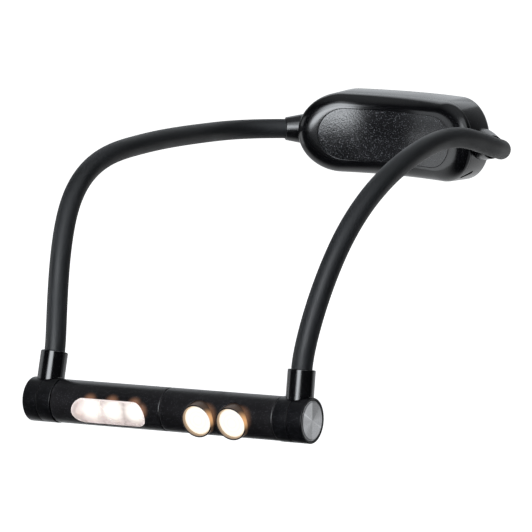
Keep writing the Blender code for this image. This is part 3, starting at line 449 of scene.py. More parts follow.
show("pack_front_moulding", carved(front_mesh, bores, bosses), shell_finish, "pack", "pack_front_shell")


# Battery pack, rear shell: the deep side wall and the back, moulded in the same black plastic, with
# four counterbored screw seats, the charging slot in its right end and a hole under each cone.
SIDE_DEPTH = 16.6
DRAFT = 0.6  # how far the side wall leans out over its depth
BACK_ROUND = 3.5
# A screw's seat: (y, radius), with its shoulder under the head.
SEAT = ((23.59, 0), (23.59, 1.2), (24.89, 1.2), (24.89, 2.5), (29.1, 2.5), (29.1, 0))
SOCKET_TURN = (39.0, 51.0)  # twist about X, then angle about Y
SOCKET_PLACE = (30.0, 3.2, 0.0)
SOCKET_REACH = 20.6  # from its frame's middle to the wall's face
SLOT_SIZE = (5.6, 7.5, 3.0)
SLOT_ROUND = 0.9
RELIEF_ANGLE = 37.5
RELIEF_MOUTH_X = 60.676  # the cones' mouths, on the arms' tilt axis
RELIEF_MOUTH_Y = -2.75
RELIEF_HOLE = 6.3
RELIEF_HOLE_END = -21.2


def rear_rings(grow, side_depth):
    """The rear shell's rings from the joint to the back's edge, grown past its outer face."""
    turn = np.linspace(0, pi / 2, 9)
    out = grow + np.r_[0, DRAFT - BACK_ROUND * (1 - np.cos(turn))]
    depth = FACE_RISE + np.r_[JOINT_GAP, side_depth + BACK_ROUND * np.sin(turn)]
    return list(zip(PACK_LENGTH + 2 * out, PACK_HEIGHT + 2 * out, depth))


def rounded_block(size, round_edge, middle, turn, place):
    """A block along X whose cross-section is a rectangle with rounded corners."""
    long, wide, tall = size
    angle = np.ravel([np.linspace(q, q + 1, 6) for q in range(4)]) * pi / 2
    y = np.repeat([1, -1, -1, 1], 6) * (wide / 2 - round_edge) + round_edge * np.cos(angle)
    z = np.repeat([1, 1, -1, -1], 6) * (tall / 2 - round_edge) + round_edge * np.sin(angle)
    y, z = np.append(y, y[0]), np.append(z, z[0])
    share = np.array([0, 1, 1, 0])[:, None]
    x = np.array([-1, -1, 1, 1])[:, None] * long / 2
    grid = np.stack([middle + x + 0 * y, share * y, share * z], axis=-1)
    return mesh_of(placed(grid, turn, place))


outer_rear, inner_rear = rear_rings(0, SIDE_DEPTH), rear_rings(-PACK_WALL, SIDE_DEPTH - PACK_WALL)
rear_mesh = mesh_of(oval_skin(
    shrunk(*inner_rear[-1], 8)[::-1] + inner_rear[::-1]
    + edge_rings(PACK_LENGTH, PACK_HEIGHT, FACE_RISE + JOINT_GAP, -SHELL_EDGE, SHELL_EDGE)
    + outer_rear[1:] + shrunk(*outer_rear[-1], 8)[1:], round_neck))
holes = [lathed(SEAT, into_pack, (x, 0, z), 40) for x, z in SCREWS]
socket_turn = turning("Y", SOCKET_TURN[1]) @ turning("X", SOCKET_TURN[0])
holes.append(rounded_block(SLOT_SIZE, SLOT_ROUND, SOCKET_REACH - PACK_WALL / 2, socket_turn, SOCKET_PLACE))
# Each cone's turn, and the place of its mouth.
reliefs = {side: (turning("Z", 90 - side * (90 + RELIEF_ANGLE)), (side * RELIEF_MOUTH_X, RELIEF_MOUTH_Y, 0))
           for side in (-1, 1)}
holes += [rod(RELIEF_HOLE_END, 0, RELIEF_HOLE, *reliefs[side]) for side in (-1, 1)]
show("pack_rear_moulding", carved(rear_mesh, holes), shell_finish, "pack", "pack_rear_shell")


# Neck pad: a thin curved oval of harder rubber with a pebbled face, glued into the front shell's
# recess, level with the border. Some of its pebbles are painted as pale flecks that stand for glints.
PAD_THICKNESS = 1.6
PAD_EDGE = 0.15
PAD_GAP = 0.06
PAD_CROWN = 0.7  # how far its middle line stands proud of its edge
PAD_TONES = ((0.004, 0.004, 0.0046), (0.008, 0.008, 0.009))
PAD_ROUGHS = (0.18, 0.24)
PAD_CLOUDS = 60.0  # clouds, pebbles and flecks in a metre
PEBBLES = 1500.0
FLECKS = 1650.0
CLOUD_SPREAD = (0.35, 0.65)
FLECK_SPREAD = (0.59, 0.7)
# The flecks' colour is a painted glint.
PAD_PAINTED_GLINT = (0.055, 0.057, 0.062)
FLECK_ROUGH = 0.26  # how much rougher a fleck is, so that it catches the light from further off
PAD_BUMP = (0.5, 0.07)

pad_long, pad_tall = PAD_LENGTH - 2 * PAD_GAP, PAD_HEIGHT - 2 * PAD_GAP
pad_edge = edge_rings(pad_long, pad_tall, 0, -PAD_EDGE, PAD_EDGE)[::-1]
pad_face = [(length, height, depth - PAD_CROWN * (1 - (height / pad_tall) ** 2))
            for length, height, depth in shrunk(*pad_edge[-1], 24)[1:]]
pad_back = shrunk(pad_long, pad_tall, PAD_THICKNESS, 8)[::-1]
pad_finish = new_material("pad_pebbled_rubber")
tree = pad_finish.node_tree
place = add(tree, "TexCoord").outputs["Object"]
pebbles = add(tree, "TexVoronoi", {"Vector": place, "Scale": PEBBLES}, feature="SMOOTH_F1")
flecks, clouds = noise(tree, FLECKS, 1.5), noise(tree, PAD_CLOUDS)
fleck = ramp(flecks, *FLECK_SPREAD)
ground = mixed(ramp(clouds, *CLOUD_SPREAD), *PAD_TONES)
rough = ramp(clouds, *CLOUD_SPREAD, *PAD_ROUGHS)
height = maths("SUBTRACT", flecks, pebbles.outputs["Distance"])
relief = add(tree, "Bump", {"Strength": PAD_BUMP[0], "Distance": PAD_BUMP[1] * MM, "Height": height})
shade(pad_finish, {
    "Base Color": mixed(fleck, ground, PAD_PAINTED_GLINT), "Normal": relief.outputs["Normal"],
    "Roughness": maths("MULTIPLY_ADD", fleck, FLECK_ROUGH, rough)})
show("neck_pad_rubber", mesh_of(oval_skin(pad_back + pad_edge + pad_face, round_neck)), pad_finish, "pack",
     "neck_pad")


# Pack screws: four small pan-head steel screws with cross recesses, in the back's counterbores.
# (y, radius, round) of its profile.
SCREW = ((18.59, 0, 0), (18.59, 0.9, 0.2), (25.19, 0.9, 0), (25.19, 2.2, 0.1), (25.89, 2.2, 0.3),
         (26.39, 1.21, 0.5), (26.39, 0, 0))
CROSS_SIZE = (1.6, 0.55, 2.6)
CROSS_ROUND = 0.2
STEEL_TONES = ((0.2, 0.2, 0.21), (0.3, 0.3, 0.31))


def rounded(profile, steps=5):
    """A closed profile of (along, radius, round), each corner rounded over the length of its round,
    with its first point repeated.

    A round is the quadratic curve over the corner, with the corner as its middle control point.
    """
    points, rounds = np.asarray(profile, float)[:, :2], np.asarray(profile, float)[:, 2:]

    def towards(others):
        way = others - points
        step = way / np.maximum(np.linalg.norm(way, axis=1, keepdims=True), 1e-9) * rounds
        return (points + step)[:, None]

    start, end = [towards(np.roll(points, shift, axis=0)) for shift in (1, -1)]
    share = np.linspace(0, 1, steps)[None, :, None]
    curve = (1 - share) ** 2 * start + 2 * share * (1 - share) * points[:, None] + share ** 2 * end
    rows = np.vstack([row if length > 0 else row[:1] for row, length in zip(curve, rounds)])
    return np.vstack([rows, rows[:1]])


screw_finish = grained("screw_steel", STEEL_TONES, (0.3, 0.45), (5000, 2500), (0.1, 0.02), metallic=1.0)
for index, (x, z) in enumerate(SCREWS, 1):
    screw = lathed(rounded(SCREW), into_pack, (x, 0, z), 40)
    cross = [rounded_block(CROSS_SIZE, CROSS_ROUND, SCREW[-1][0], into_pack @ turning("X", spin), (x, 0, z))
             for spin in (20 * index, 20 * index + 90)]
    show(f"screw_{index}", carved(screw, cross), screw_finish, "pack", f"pack_screw_{index}")


# Inside: the foil-wrapped cell, green boards, plated steel socket and rivets, the arms' wound steel
# cores and rubber-jacketed leads, moulded switches, nylon washers, and the LEDs' white boards on
# aluminium. Their solids are right as they are, so they keep their meshes and get finishes here.
# For each finish: name, tones, roughs, grain, bump, metallic and nodes.
INSIDE = (
    ("cell_foil_wrap", ((0.24, 0.26, 0.3), (0.34, 0.36, 0.39)), (0.3, 0.45), (900, 120), (0.3, 0.1), 0.6,
     ["battery_cell"]),
    ("circuit_board", ((0.015, 0.13, 0.05), (0.02, 0.18, 0.07)), (0.4, 0.55), (1800, 500), (0.15, 0.03), 0.0,
     ["charge_board", "left_switch_board", "right_switch_board"]),
    ("bright_plated_steel", ((0.48, 0.48, 0.5), (0.6, 0.6, 0.62)), (0.22, 0.34), (4000, 1500), (0.1, 0.02),
     1.0, ["usb_socket", "left_rivet", "middle_rivet", "right_rivet"]),
    ("gooseneck_wound_steel", ((0.3, 0.3, 0.32), (0.45, 0.45, 0.47)), (0.3, 0.5), (900, 250), (0.6, 0.2),
     1.0, ["left_arm_core", "right_arm_core"]),
    ("lead_jacket", ((0.02, 0.02, 0.02), (0.032, 0.032, 0.032)), (0.45, 0.6), (1500, 400), (0.2, 0.03), 0.0,
     ["left_arm_lead", "right_arm_lead"]),
    ("switch_moulding", ((0.025, 0.025, 0.025), (0.04, 0.04, 0.04)), (0.45, 0.55), (2500, 900), (0.1, 0.02),
     0.0, ["left_switch", "right_switch"]),
    ("washer_nylon", ((0.52, 0.52, 0.48), (0.62, 0.62, 0.58)), (0.45, 0.6), (2000, 500), (0.1, 0.02), 0.0,
     ["left_washer", "middle_washer", "right_washer"]),
    ("led_board_white", ((0.64, 0.64, 0.6), (0.74, 0.74, 0.71)), (0.45, 0.6), (1800, 500), (0.1, 0.02), 0.0,
     ["flood_led_board", "left_spot_board", "right_spot_board"]),
)


def dress(finish, node_names):
    """Give CAD nodes that keep their meshes a finish in place of their plain one."""
    for name in node_names:
        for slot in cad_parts[name].material_slots:
            slot.material = finish


for *look, nodes in INSIDE:
    dress(grained(*look), nodes)


# Strain reliefs: soft black cones moulded on the pack's ends. Each is seated on the side wall, runs
# through it on a short neck, and holds its arm's rounded root in a spherical mouth.
# (along, radius, round) of its profile up to its mouth, a hollow ball from its bore.
RELIEF = ((-20.2, 3.4, 0), (-20.2, 8.1, 0), (-11.4, 8.1, 4), (0, 5.9, 0.35), (0, 5.3, 0.1))
RELIEF_NECK = 6.0
RELIEF_BORE = 3.4
RELIEF_MOUTH = 5.3
RELIEF_SHARP = 50
RELIEF_TONES = ((0.002, 0.002, 0.0024), (0.0038, 0.0038, 0.0044))

relief_finish = grained("relief_soft_black", RELIEF_TONES, (0.2, 0.27), (2400, 800), (0.15, 0.03))
mouth_turn = np.linspace(0, acos(RELIEF_BORE / RELIEF_MOUTH), 12)[1:]
relief_profile = rounded(
    [*RELIEF, *[(-RELIEF_MOUTH * sin(a), RELIEF_MOUTH * cos(a), 0) for a in mouth_turn]], 9)
# What the pack fills, with the seam's gap round it: the cone is cut to it, all but its neck.
pack_edge = rear_rings(GAP, SIDE_DEPTH)
envelope = mesh_of(oval_skin(
    shrunk(PACK_LENGTH + 2 * GAP, PACK_HEIGHT + 2 * GAP, 0, 4)[::-1]
    + pack_edge + shrunk(*pack_edge[-1], 4)[1:], round_neck))
for side, name in ((-1, "left"), (1, "right")):
    neck = rod(RELIEF_HOLE_END, 1, RELIEF_NECK, *reliefs[side], 96)
    cone = carved(lathed(relief_profile, *reliefs[side]), [carved(envelope.copy(), [neck])])
    show(f"{name}_relief_cone", cone, relief_finish, "pack", f"{name}_strain_relief",
         RELIEF_SHARP)


# Gooseneck arms: a matt rubber sleeve over a wound steel gooseneck with the lead inside it. The
# sleeves show; the cores and leads keep their CAD meshes. A sleeve's root is a ball that tilts in
# its cone's mouth.
SLEEVE_RADIUS = 5.0
SLEEVE_BORE = 3.5
BALL_SHARE = 0.9  # how far round the ball goes towards the sleeve's bore
ARM_REACH = 211.7
ARM_DROP = 108.3
BAR_SHIFT = 4.8
BAR_ROLL = -2.42
BAR_TILT = -2.0
LOOP_HALF_WIDTH = 81.0
FERRULE_X = 69.6
FERRULE_TOP = 23.4
FERRULE_SOCKET = 8.5
ARM_RINGS = 220
ARM_SIDES = 48
SLEEVE_SHARP = 60
# For each arm: side, lean, straight at the foot and at the root, and between them the control
# points' shares of the half width, of the reach and of the drop.
ARMS = {
    "left": (-1, 14.9, 10.1, 22.4, (
        (0.999, 0.871, 0.045), (0.973, 0.523, -0.016), (0.98, 0.345, -0.014), (1.023, 0.212, -0.002))),
    "right": (1, 8.3, 12.3, 19.7, (
        (1.002, 0.892, 0.122), (0.989, 0.528, -0.125), (0.993, 0.338, -0.139), (1.002, 0.222, -0.068))),
}
SLEEVE_TONES = ((0.0045, 0.005, 0.0056), (0.0082, 0.0088, 0.0098))


def spline(points, count):
    """Points of the clamped uniform cubic B-spline through its control points.

    The basis is Cox and de Boor's: each level blends two neighbours of the level below by the
    parameter's share of the way between their knots.
    """
    points = np.asarray(points, float)
    pieces = len(points) - 3
    knots = np.r_[np.zeros(4), np.arange(1, pieces) / pieces, np.ones(4)]
    t = np.linspace(0, 1, count)[:, None]
    t[-1] = 1 - 1e-9
    basis = ((knots[:-1] <= t) & (t < knots[1:])).astype(float)
    for level in (1, 2, 3):
        share = (t - knots[:-level]) / np.maximum(knots[level:] - knots[:-level], 1e-9)
        basis = share[:, :-1] * basis[:, :-1] + (1 - share[:, 1:]) * basis[:, 1:]
    return basis @ points


def tube_along(path, radii, sides):
    """A tube's skin: round each path point a ring of its radius, square to the path.

    The ring's first spoke is the X axis made square to the path, and its second is square to both.
    """
    along = np.gradient(path, axis=0)
    along /= np.linalg.norm(along, axis=1, keepdims=True)
    across = np.array([1.0, 0, 0]) - along * along[:, :1]
    across /= np.linalg.norm(across, axis=1, keepdims=True)
    upward = np.cross(along, across)
    turn = np.linspace(0, 2 * pi, sides + 1)[None, :, None]
    spokes = across[:, None] * np.cos(turn) + upward[:, None] * np.sin(turn)
    return path[:, None] + spokes * radii[:, None, None]


bar_turn = turning("X", BAR_TILT) @ turning("Y", BAR_ROLL)
bar_place = np.array([BAR_SHIFT, RELIEF_MOUTH_Y - ARM_REACH, -ARM_DROP])
sleeve_finish = grained(
    "sleeve_matt_rubber", SLEEVE_TONES, (0.5, 0.6), (1600, 300), (0.35, 0.05), specular=0.38)
ball_turn = np.linspace(0, BALL_SHARE * acos(SLEEVE_BORE / SLEEVE_RADIUS), 9)[1:]
outer_radii = SLEEVE_RADIUS * np.r_[np.ones(ARM_RINGS + 1), np.cos(ball_turn)]
for name, (side, lean, foot_straight, root_straight, shares) in ARMS.items():
    lean, angle = radians(lean), radians(RELIEF_ANGLE)
    upright = np.array([0, sin(lean), cos(lean)])
    foot_way = bar_turn @ upright
    foot = placed(upright * FERRULE_TOP + [side * FERRULE_X, 0, 0], bar_turn, bar_place)
    root_way = np.array([side * cos(angle), -sin(angle), 0])
    root = np.array(reliefs[side][1])
    between = np.array([side * LOOP_HALF_WIDTH, -ARM_REACH, -ARM_DROP]) * shares + [0, RELIEF_MOUTH_Y, 0]
    bend = spline(
        [foot, foot + foot_way * foot_straight, *between, root + root_way * root_straight, root], ARM_RINGS)
    ball = root - root_way * SLEEVE_RADIUS * np.sin(ball_turn)[:, None]
    path = np.vstack([foot - foot_way * FERRULE_SOCKET, bend, ball])
    outer = tube_along(path, outer_radii, ARM_SIDES)
    inner = tube_along(path, np.full(len(path), SLEEVE_BORE), ARM_SIDES)
    sleeve = mesh_of(outer, inner, *[np.stack([outer[end], inner[end]]) for end in (0, -1)])
    show(f"{name}_sleeve_rubber", sleeve, sleeve_finish, "loop", f"{name}_arm_sleeve",
         SLEEVE_SHARP)


# Ferrules: turned, gloss black cups. Each is saddled on the bar's end piece with a hollow stud
# through its wall, and its arm's foot is glued into the cup.
# (up, radius, round) of its profile from the bar's axis, and the radius of its stud.
FERRULE = ((7.8, 1.8, 0), (7.8, 6.6, 0), (23.4, 6.6, 0.7), (23.4, 5.3, 0.1), (14.6, 5.3, 0), (14.6, 1.8, 0))
FERRULE_STUD = 3.2
END_RADIUS = 10.7
END_LENGTH = 15.75
SEAM_X = 61.6
FERRULE_TONES = ((0.0015, 0.0015, 0.0018), (0.0026, 0.0026, 0.003))

ferrule_finish = grained("ferrule_gloss_black", FERRULE_TONES, (0.12, 0.2), (3000, 600), (0.06, 0.02))
# For each end of the bar: how it turns outwards and where its seam is, and how its ferrule stands
# and where on the bar's axis.
bar_ends = {}
for name, (side, lean, *_) in ARMS.items():
    seam, foot = [placed([side * x, 0, 0], bar_turn, bar_place) for x in (SEAM_X, FERRULE_X)]
    outward, upward = turning("Z", 90 - side * 90), turning("X", -lean) @ turning("Y", -90)
    bar_ends[name] = ((bar_turn @ outward, seam), (bar_turn @ upward, foot))
for name, (_, ferrule_at) in bar_ends.items():
    saddle = rod(-END_LENGTH, END_LENGTH, END_RADIUS + GAP, bar_turn, ferrule_at[1], 128)
    saddle = carved(saddle, [rod(0, FERRULE_TOP, FERRULE_STUD, *ferrule_at, 96)])
    ferrule = carved(lathed(rounded(FERRULE, 7), *ferrule_at), [saddle])
    show(f"{name}_ferrule_cup", ferrule, ferrule_finish, "loop", f"{name}_ferrule")


# Bar ends: a fitting by the seam and a cap over its spigot, both of black anodised aluminium, with a
# fine split line between them and a hole for the ferrule's stud.
# (along, radius, round) of the two profiles from the seam.
FITTING = ((0.15, 6.9, 0), (0.15, 10.7, 0.45), (7.7, 10.7, 0.15), (7.7, 9.3, 0), (12.3, 9.3, 0.2),
           (12.3, 7.8, 0.2), (2.7, 7.8, 0.3), (2.7, 4.3, 0), (0.7, 4.3, 0), (0.7, 6.9, 0))
CAP = ((8, 9.6, 0.1), (8, 10.7, 0.15), (15.75, 10.7, 0.45), (15.75, 9.6, 0.2))
HOLE_START = 6.8
# The third tone is the painted glint on some grains.
CAP_TONES = ((0.0014, 0.0014, 0.0017), (0.0024, 0.0024, 0.003), (0.024, 0.024, 0.027))

finishes = {piece: grained(f"{piece}_black_anodised", CAP_TONES, (0.26, 0.34), (3200, 1500),
                           (bump, 0.05), specular=0.25, painted_glints=0.34)
            for piece, bump in (("fitting", 0.45), ("cap", 0.35))}
for name, (ring_at, ferrule_at) in bar_ends.items():
    for piece, profile in (("fitting", FITTING), ("cap", CAP)):
        hole = rod(HOLE_START, FERRULE_TOP, FERRULE_STUD + GAP, *ferrule_at, 64)
        ring = carved(lathed(rounded(profile), *ring_at, 128), [hole])
        show(f"{name}_{piece}_ring", ring, finishes[piece], "loop", f"{name}_end_{piece}")


# Push buttons: a turned aluminium disc in each cap, finely ring-brushed on its face, with a stem
# that presses a small tactile switch on a round board. The spun highlights on its face are painted.
# (along, radius, round) of its profile from the seam to its face's edge, whose round is the last.
BUTTON = ((11.4, 0, 0), (11.4, 1.5, 0.2), (14.45, 1.5, 0), (14.45, 9.4, 0.15), (15.65, 9.4, 0.4))
BUTTON_TONES = ((0.72, 0.72, 0.73), (0.9, 0.9, 0.91))
BUTTON_RINGS = 55.0
# The painted highlight wedges: the share of a turn from the back, up and over, and the painted shade there.
PAINTED_WEDGES = ((0.0, 0.62), (0.04, 0.5), (0.1, 0.42), (0.12, 0.34), (0.24, 0.36), (0.26, 0.74), (0.36, 0.7),
          (0.405, 0.72), (0.42, 1.0), (0.435, 0.7), (0.5, 0.58), (0.56, 0.66), (0.66, 0.5), (0.74, 0.54),
          (0.76, 0.72), (0.88, 0.66), (0.915, 0.66), (0.925, 0.86), (0.94, 0.6), (1.0, 0.62))


def grid_shares(tree):
    """A point's shares of the way along its grid's columns and along its rows."""
    split = add(tree, "SeparateXYZ", {"Vector": add(tree, "UVMap", uv_map="UVMap").outputs["UV"]})
    return split.outputs["X"], split.outputs["Y"]


button_finish = new_material("button_ring_brushed_painted_wedges")
tree = button_finish.node_tree
round_share, row = grid_shares(tree)
rings = add(tree, "TexNoise", {"W": row, "Scale": BUTTON_RINGS, "Detail": 4.0}, noise_dimensions="1D")
rings = rings.outputs["Fac"]
painted_wedges = add(tree, "ValToRGB", {"Fac": round_share})
stops = painted_wedges.color_ramp.elements
stops.remove(stops[1])
for number, (share, tone) in enumerate(PAINTED_WEDGES):
    stop = stops.new(share) if number else stops[0]
    stop.color = (tone, tone, tone, 1.0)
brushed = mixed(ramp(rings, *TONE_SPREAD), *BUTTON_TONES)
shade(button_finish, {
    "Base Color": mixed(1.0, brushed, painted_wedges.outputs["Color"], "MULTIPLY"), "Metallic": 1.0,
    "Roughness": ramp(rings, *TONE_SPREAD, 0.26, 0.38), "Anisotropic": 0.6,
    "Tangent": add(tree, "Tangent", direction_type="RADIAL", axis="X").outputs["Tangent"]})
face_at, rim_radius, rim_round = BUTTON[-1]
face = [(face_at, radius) for radius in np.linspace(rim_radius - rim_round, 0, 25)[1:]]
button_profile = [*rounded(BUTTON)[:-1], *face]
for name, (disc_at, _) in bar_ends.items():
    show(f"{name}_button_disc", lathed(button_profile, *disc_at), button_finish, f"{name}_button",
         f"{name}_button")


# Flood head: a black anodised tube, closed at each end by a web that turns on the hollow rivets,
# with a long round-ended window cut in it. A painted glow of the LEDs' warm light lies on its upper edge.
HEAD_RADIUS = 10.45
HEAD_WALL = 1.4
EDGE_LENGTH = 0.9  # the tube's turned end edges: along it, and in from its skin
EDGE_DEPTH = 0.3
WINDOW_X = -29.4
WINDOW_LENGTH = 41.5
WINDOW_HEIGHT = 13.2
WINDOW_EDGE = 0.3
FLOOD_AIM = 19.3
# Where the LEDs' light is painted on the tube as a glow, how far it reaches, and its colour.
PAINTED_SPILL_AT = ((-39.0, 5.8), (-26.5, 5.8), (-14.0, 5.6), (-10.4, 3.2))
PAINTED_SPILL_REACH = (0.0, 4.9)
PAINTED_SPILL = (0.34, 0.165, 0.095)
BLACK = (0.0, 0.0, 0.0)
WASHER_SEAT = 0.55  # half a washer and half its gap
WASHER_SEAT_RADIUS = 6.9
WEB_THICKNESS = 2.0
WEB_BORE = 4.3
# The third tone is the painted glint on some grains.
ANODISED_TONES = ((0.004, 0.0037, 0.0042), (0.0066, 0.0061, 0.0068), (0.034, 0.033, 0.036))
ARC_COLUMNS = 48  # a quarter of the way round a window, and half of the way round its tube
SIDE_COLUMNS = 32


def quarters(first, second):
    """A closed ring of (x, z) pairs from its first quarter, mirrored for the other three."""
    rings = [np.stack([sx * first[::way], sz * second[::way]], axis=-1)[:-1]
             for sx, sz, way in ((1, 1, 1), (-1, 1, -1), (-1, -1, 1), (1, -1, -1))]
    return np.vstack([*rings, rings[0][:1]])


def end_and_side(start, stop):
    """A quarter ring's angles, from start to stop over its end, and its shares of the side, to 0."""
    angle = np.r_[np.linspace(start, stop, ARC_COLUMNS + 1), np.full(SIDE_COLUMNS, stop)]
    return angle, np.r_[np.ones(ARC_COLUMNS), np.linspace(1, 0, SIDE_COLUMNS + 1)]


def window_ring(length, height):
    """The ring of a round-ended window and its outward normals. A long window's first columns turn
    round its end and the rest run along its side, and a round window's share the quarter circle."""
    angle, share = end_and_side(0, pi / 2)
    if length <= height:
        angle = np.linspace(0, pi / 2, len(angle))
    x, z = np.cos(angle), np.sin(angle)
    return quarters((length - height) / 2 * share + height / 2 * x, height / 2 * z), quarters(x, z)


def window_skins(start, end, inner_start, inner_end, middle, length, height):
    """Three grids round one window in a tube: the outer skin, the window's wall and the inner skin.

    A skin's rows run straight from the window's ring to its border in (x, turn), and a point is
    (x, -radius cos turn, radius sin turn). The outer skin starts with a quarter circle roll.
    """
    ring, normal = window_ring(length, height)
    roll = np.linspace(pi / 2, 0, 5)[:, None]
    out = WINDOW_EDGE * (1 - np.sin(roll))
    x = middle + ring[:, 0] + normal[:, 0] * out
    z = ring[:, 1] + normal[:, 1] * out
    y = WINDOW_EDGE * (1 - np.cos(roll)) - np.sqrt(HEAD_RADIUS ** 2 - z ** 2)
    edge = np.stack([x, y, z], axis=-1)

    def skin(radius, x, z, left, right):
        border_turn, share = end_and_side(0, pi)
        border = quarters(share, border_turn)
        border[:, 0] = middle + np.where(border[:, 0] > 0, right - middle, middle - left) * border[:, 0]
        first = np.stack([x, np.arcsin(z / radius)], axis=-1)
        spread = first + (border - first) * np.linspace(0, 1, 15)[:, None, None] ** 1.3
        turn = spread[..., 1]
        return np.stack([spread[..., 0], -radius * np.cos(turn), radius * np.sin(turn)], axis=-1)

    inner = skin(HEAD_RADIUS - HEAD_WALL, middle + ring[:, 0], ring[:, 1], inner_start, inner_end)
    return [edge, skin(HEAD_RADIUS, x[-1], z[-1], start, end), np.stack([edge[0], inner[0]]), inner]


def tube_end(face, way):
    """The grid of a head tube's end, turned: from its outer skin over the edge, in along the face
    and the washer's seat to the web's bore, and out behind the web to the inner skin."""
    seat, web_back = face + way * WASHER_SEAT, face + way * (WASHER_SEAT + WEB_THICKNESS)
    profile = [(face + way * EDGE_LENGTH * (1 - sin(a)), HEAD_RADIUS - EDGE_DEPTH * (1 - cos(a)))
               for a in np.linspace(0, pi / 2, 9)]
    profile += [(face, WASHER_SEAT_RADIUS), (seat, WASHER_SEAT_RADIUS), (seat, WEB_BORE),
                (web_back, WEB_BORE), (web_back, HEAD_RADIUS - HEAD_WALL)]
    return turned(profile, 2 * ARC_COLUMNS)


def head_tube(start, end, turn, windows):
    """A head's tube: both ends, and the skins round each window up to the next one's."""
    inset = WASHER_SEAT + WEB_THICKNESS
    between = [(a[0] + b[0]) / 2 for a, b in zip(windows, windows[1:])]
    planes = [start + EDGE_LENGTH, *between, end - EDGE_LENGTH]
    inner_planes = [start + inset, *between, end - inset]
    grids = [tube_end(start, 1), tube_end(end, -1)]
    for index, window in enumerate(windows):
        grids += window_skins(*planes[index:index + 2], *inner_planes[index:index + 2], *window)
    return mesh_of(*[placed(grid, turn, bar_place) for grid in grids])


# The nearness group: how near a point in Object coordinates is to Centre, from 1 at Near to 0 at Far.
NEARNESS, given, result = new_group(
    "nearness", [("Centre", "Vector"), ("Near", "Float"), ("Far", "Float")], ["Mask"])
place = add(NEARNESS, "TexCoord").outputs["Object"]
gap = add(NEARNESS, "VectorMath", {0: place, 1: given["Centre"]}, operation="DISTANCE").outputs["Value"]
feed(result, {"Mask": ramp(gap, given["Near"], given["Far"], 1.0, 0.0)})


def nearness(tree, centres, near, far):
    """The greatest nearness to any of the centres, with lengths in millimetres."""
    most = 0.0
    for centre in centres:
        inputs = {"Centre": Vector(centre) * MM, "Near": near * MM, "Far": far * MM}
        mask = add(tree, "Group", inputs, node_tree=NEARNESS).outputs["Mask"]
        most = maths("MAXIMUM", most, mask)
    return most


def lit(finish, colour, power=1.0):
    """A finish with light of its own, in the colour that a socket of its node tree gives."""
    return shade(finish, {"Emission Color": colour, "Emission Strength": power})


def lit_tube(name, centres, reach, painted_spill):
    """The heads' anodised finish with the lamps' warm light painted on it as a glow at the centres."""
    finish = grained(
        name, ANODISED_TONES, (0.28, 0.36), (3200, 1500), (0.45, 0.05), specular=0.3, painted_glints=0.36)
    return lit(finish, mixed(nearness(finish.node_tree, centres, *reach), BLACK, painted_spill))


def on_tube(x, z, turn):
    """The point of a head's skin at x and z in its own frame, in the light's frame."""
    return placed([x, -sqrt(HEAD_RADIUS ** 2 - z ** 2), z], turn, bar_place)


flood_turn = bar_turn @ turning("X", FLOOD_AIM)
flood_painted_spill = [on_tube(x, z, flood_turn) for x, z in PAINTED_SPILL_AT]
flood_finish = lit_tube("flood_tube_black_anodised", flood_painted_spill, PAINTED_SPILL_REACH, PAINTED_SPILL)
flood_tube = head_tube(
    GAP / 2 - SEAM_X, -GAP / 2, flood_turn, [(WINDOW_X, WINDOW_LENGTH, WINDOW_HEIGHT)])
show("flood_tube", flood_tube, flood_finish, "flood_head", "flood_head_tube")


# Flood reflector: a vacuum-silvered tray behind the window. Its wall flares from the floor to the
# mouth, its face has a soft hammered texture, and each LED looks through a hole in its floor.
TRAY_FLOOR = -4.6
TRAY_MOUTH = -11.45  # past the bore, which cuts the tray's front to the tube's curve
TRAY_WALL = 0.8
TRAY_FLANGE = 1.0
TRAY_TAPER = 0.72
LED_PITCH = 12.1
LED_HOLE = 2.5
SILVER_TONES = ((0.6, 0.57, 0.53), (0.78, 0.76, 0.73))


def oval_tool(rings):
    """A closed cutting tool from stadium rings (length, height, y), in the flood head's window."""
    rings = shrunk(*rings[0], 3)[::-1] + rings + shrunk(*rings[-1], 3)
    grid = oval_skin(rings, lambda x, z, y: y + 0 * x, 40, 40) + [WINDOW_X, 0, 0]
    return mesh_of(placed(grid, flood_turn, bar_place))


silver_finish = grained(
    "silvered_reflector", SILVER_TONES, (0.18, 0.3), (700, 260), (0.5, 0.25), metallic=1.0)
tray_long, tray_tall = WINDOW_LENGTH + 2 * TRAY_FLANGE, WINDOW_HEIGHT + 2 * TRAY_FLANGE
mouth_long, mouth_tall = WINDOW_LENGTH - 2 * GAP, WINDOW_HEIGHT - 2 * GAP
flare = []
for share in np.linspace(0, 1, 13):
    tall = mouth_tall * (TRAY_TAPER + (1 - TRAY_TAPER) * share ** 1.6)
    flare.append((mouth_long - mouth_tall + tall, tall, TRAY_FLOOR + (TRAY_MOUTH - TRAY_FLOOR) * share))
led_x = [WINDOW_X + step * LED_PITCH for step in (-1, 0, 1)]
look = flood_turn @ turning("Z", -90)
led_holes = [rod(0, 0.3 - TRAY_FLOOR, LED_HOLE, look, placed([x, 0, 0], bar_turn, bar_place)) for x in led_x]
tray = rod(-tray_long / 2, tray_long / 2, HEAD_RADIUS - HEAD_WALL - GAP, flood_turn,
           placed([WINDOW_X, 0, 0], bar_turn, bar_place), 128)
tray_body = oval_tool([(tray_long, tray_tall, TRAY_MOUTH), (tray_long, tray_tall, TRAY_FLOOR + TRAY_WALL)])
show("flood_tray", carved(tray, [oval_tool(flare), *led_holes], common=[tray_body]), silver_finish,
     "flood_head", "flood_reflector")
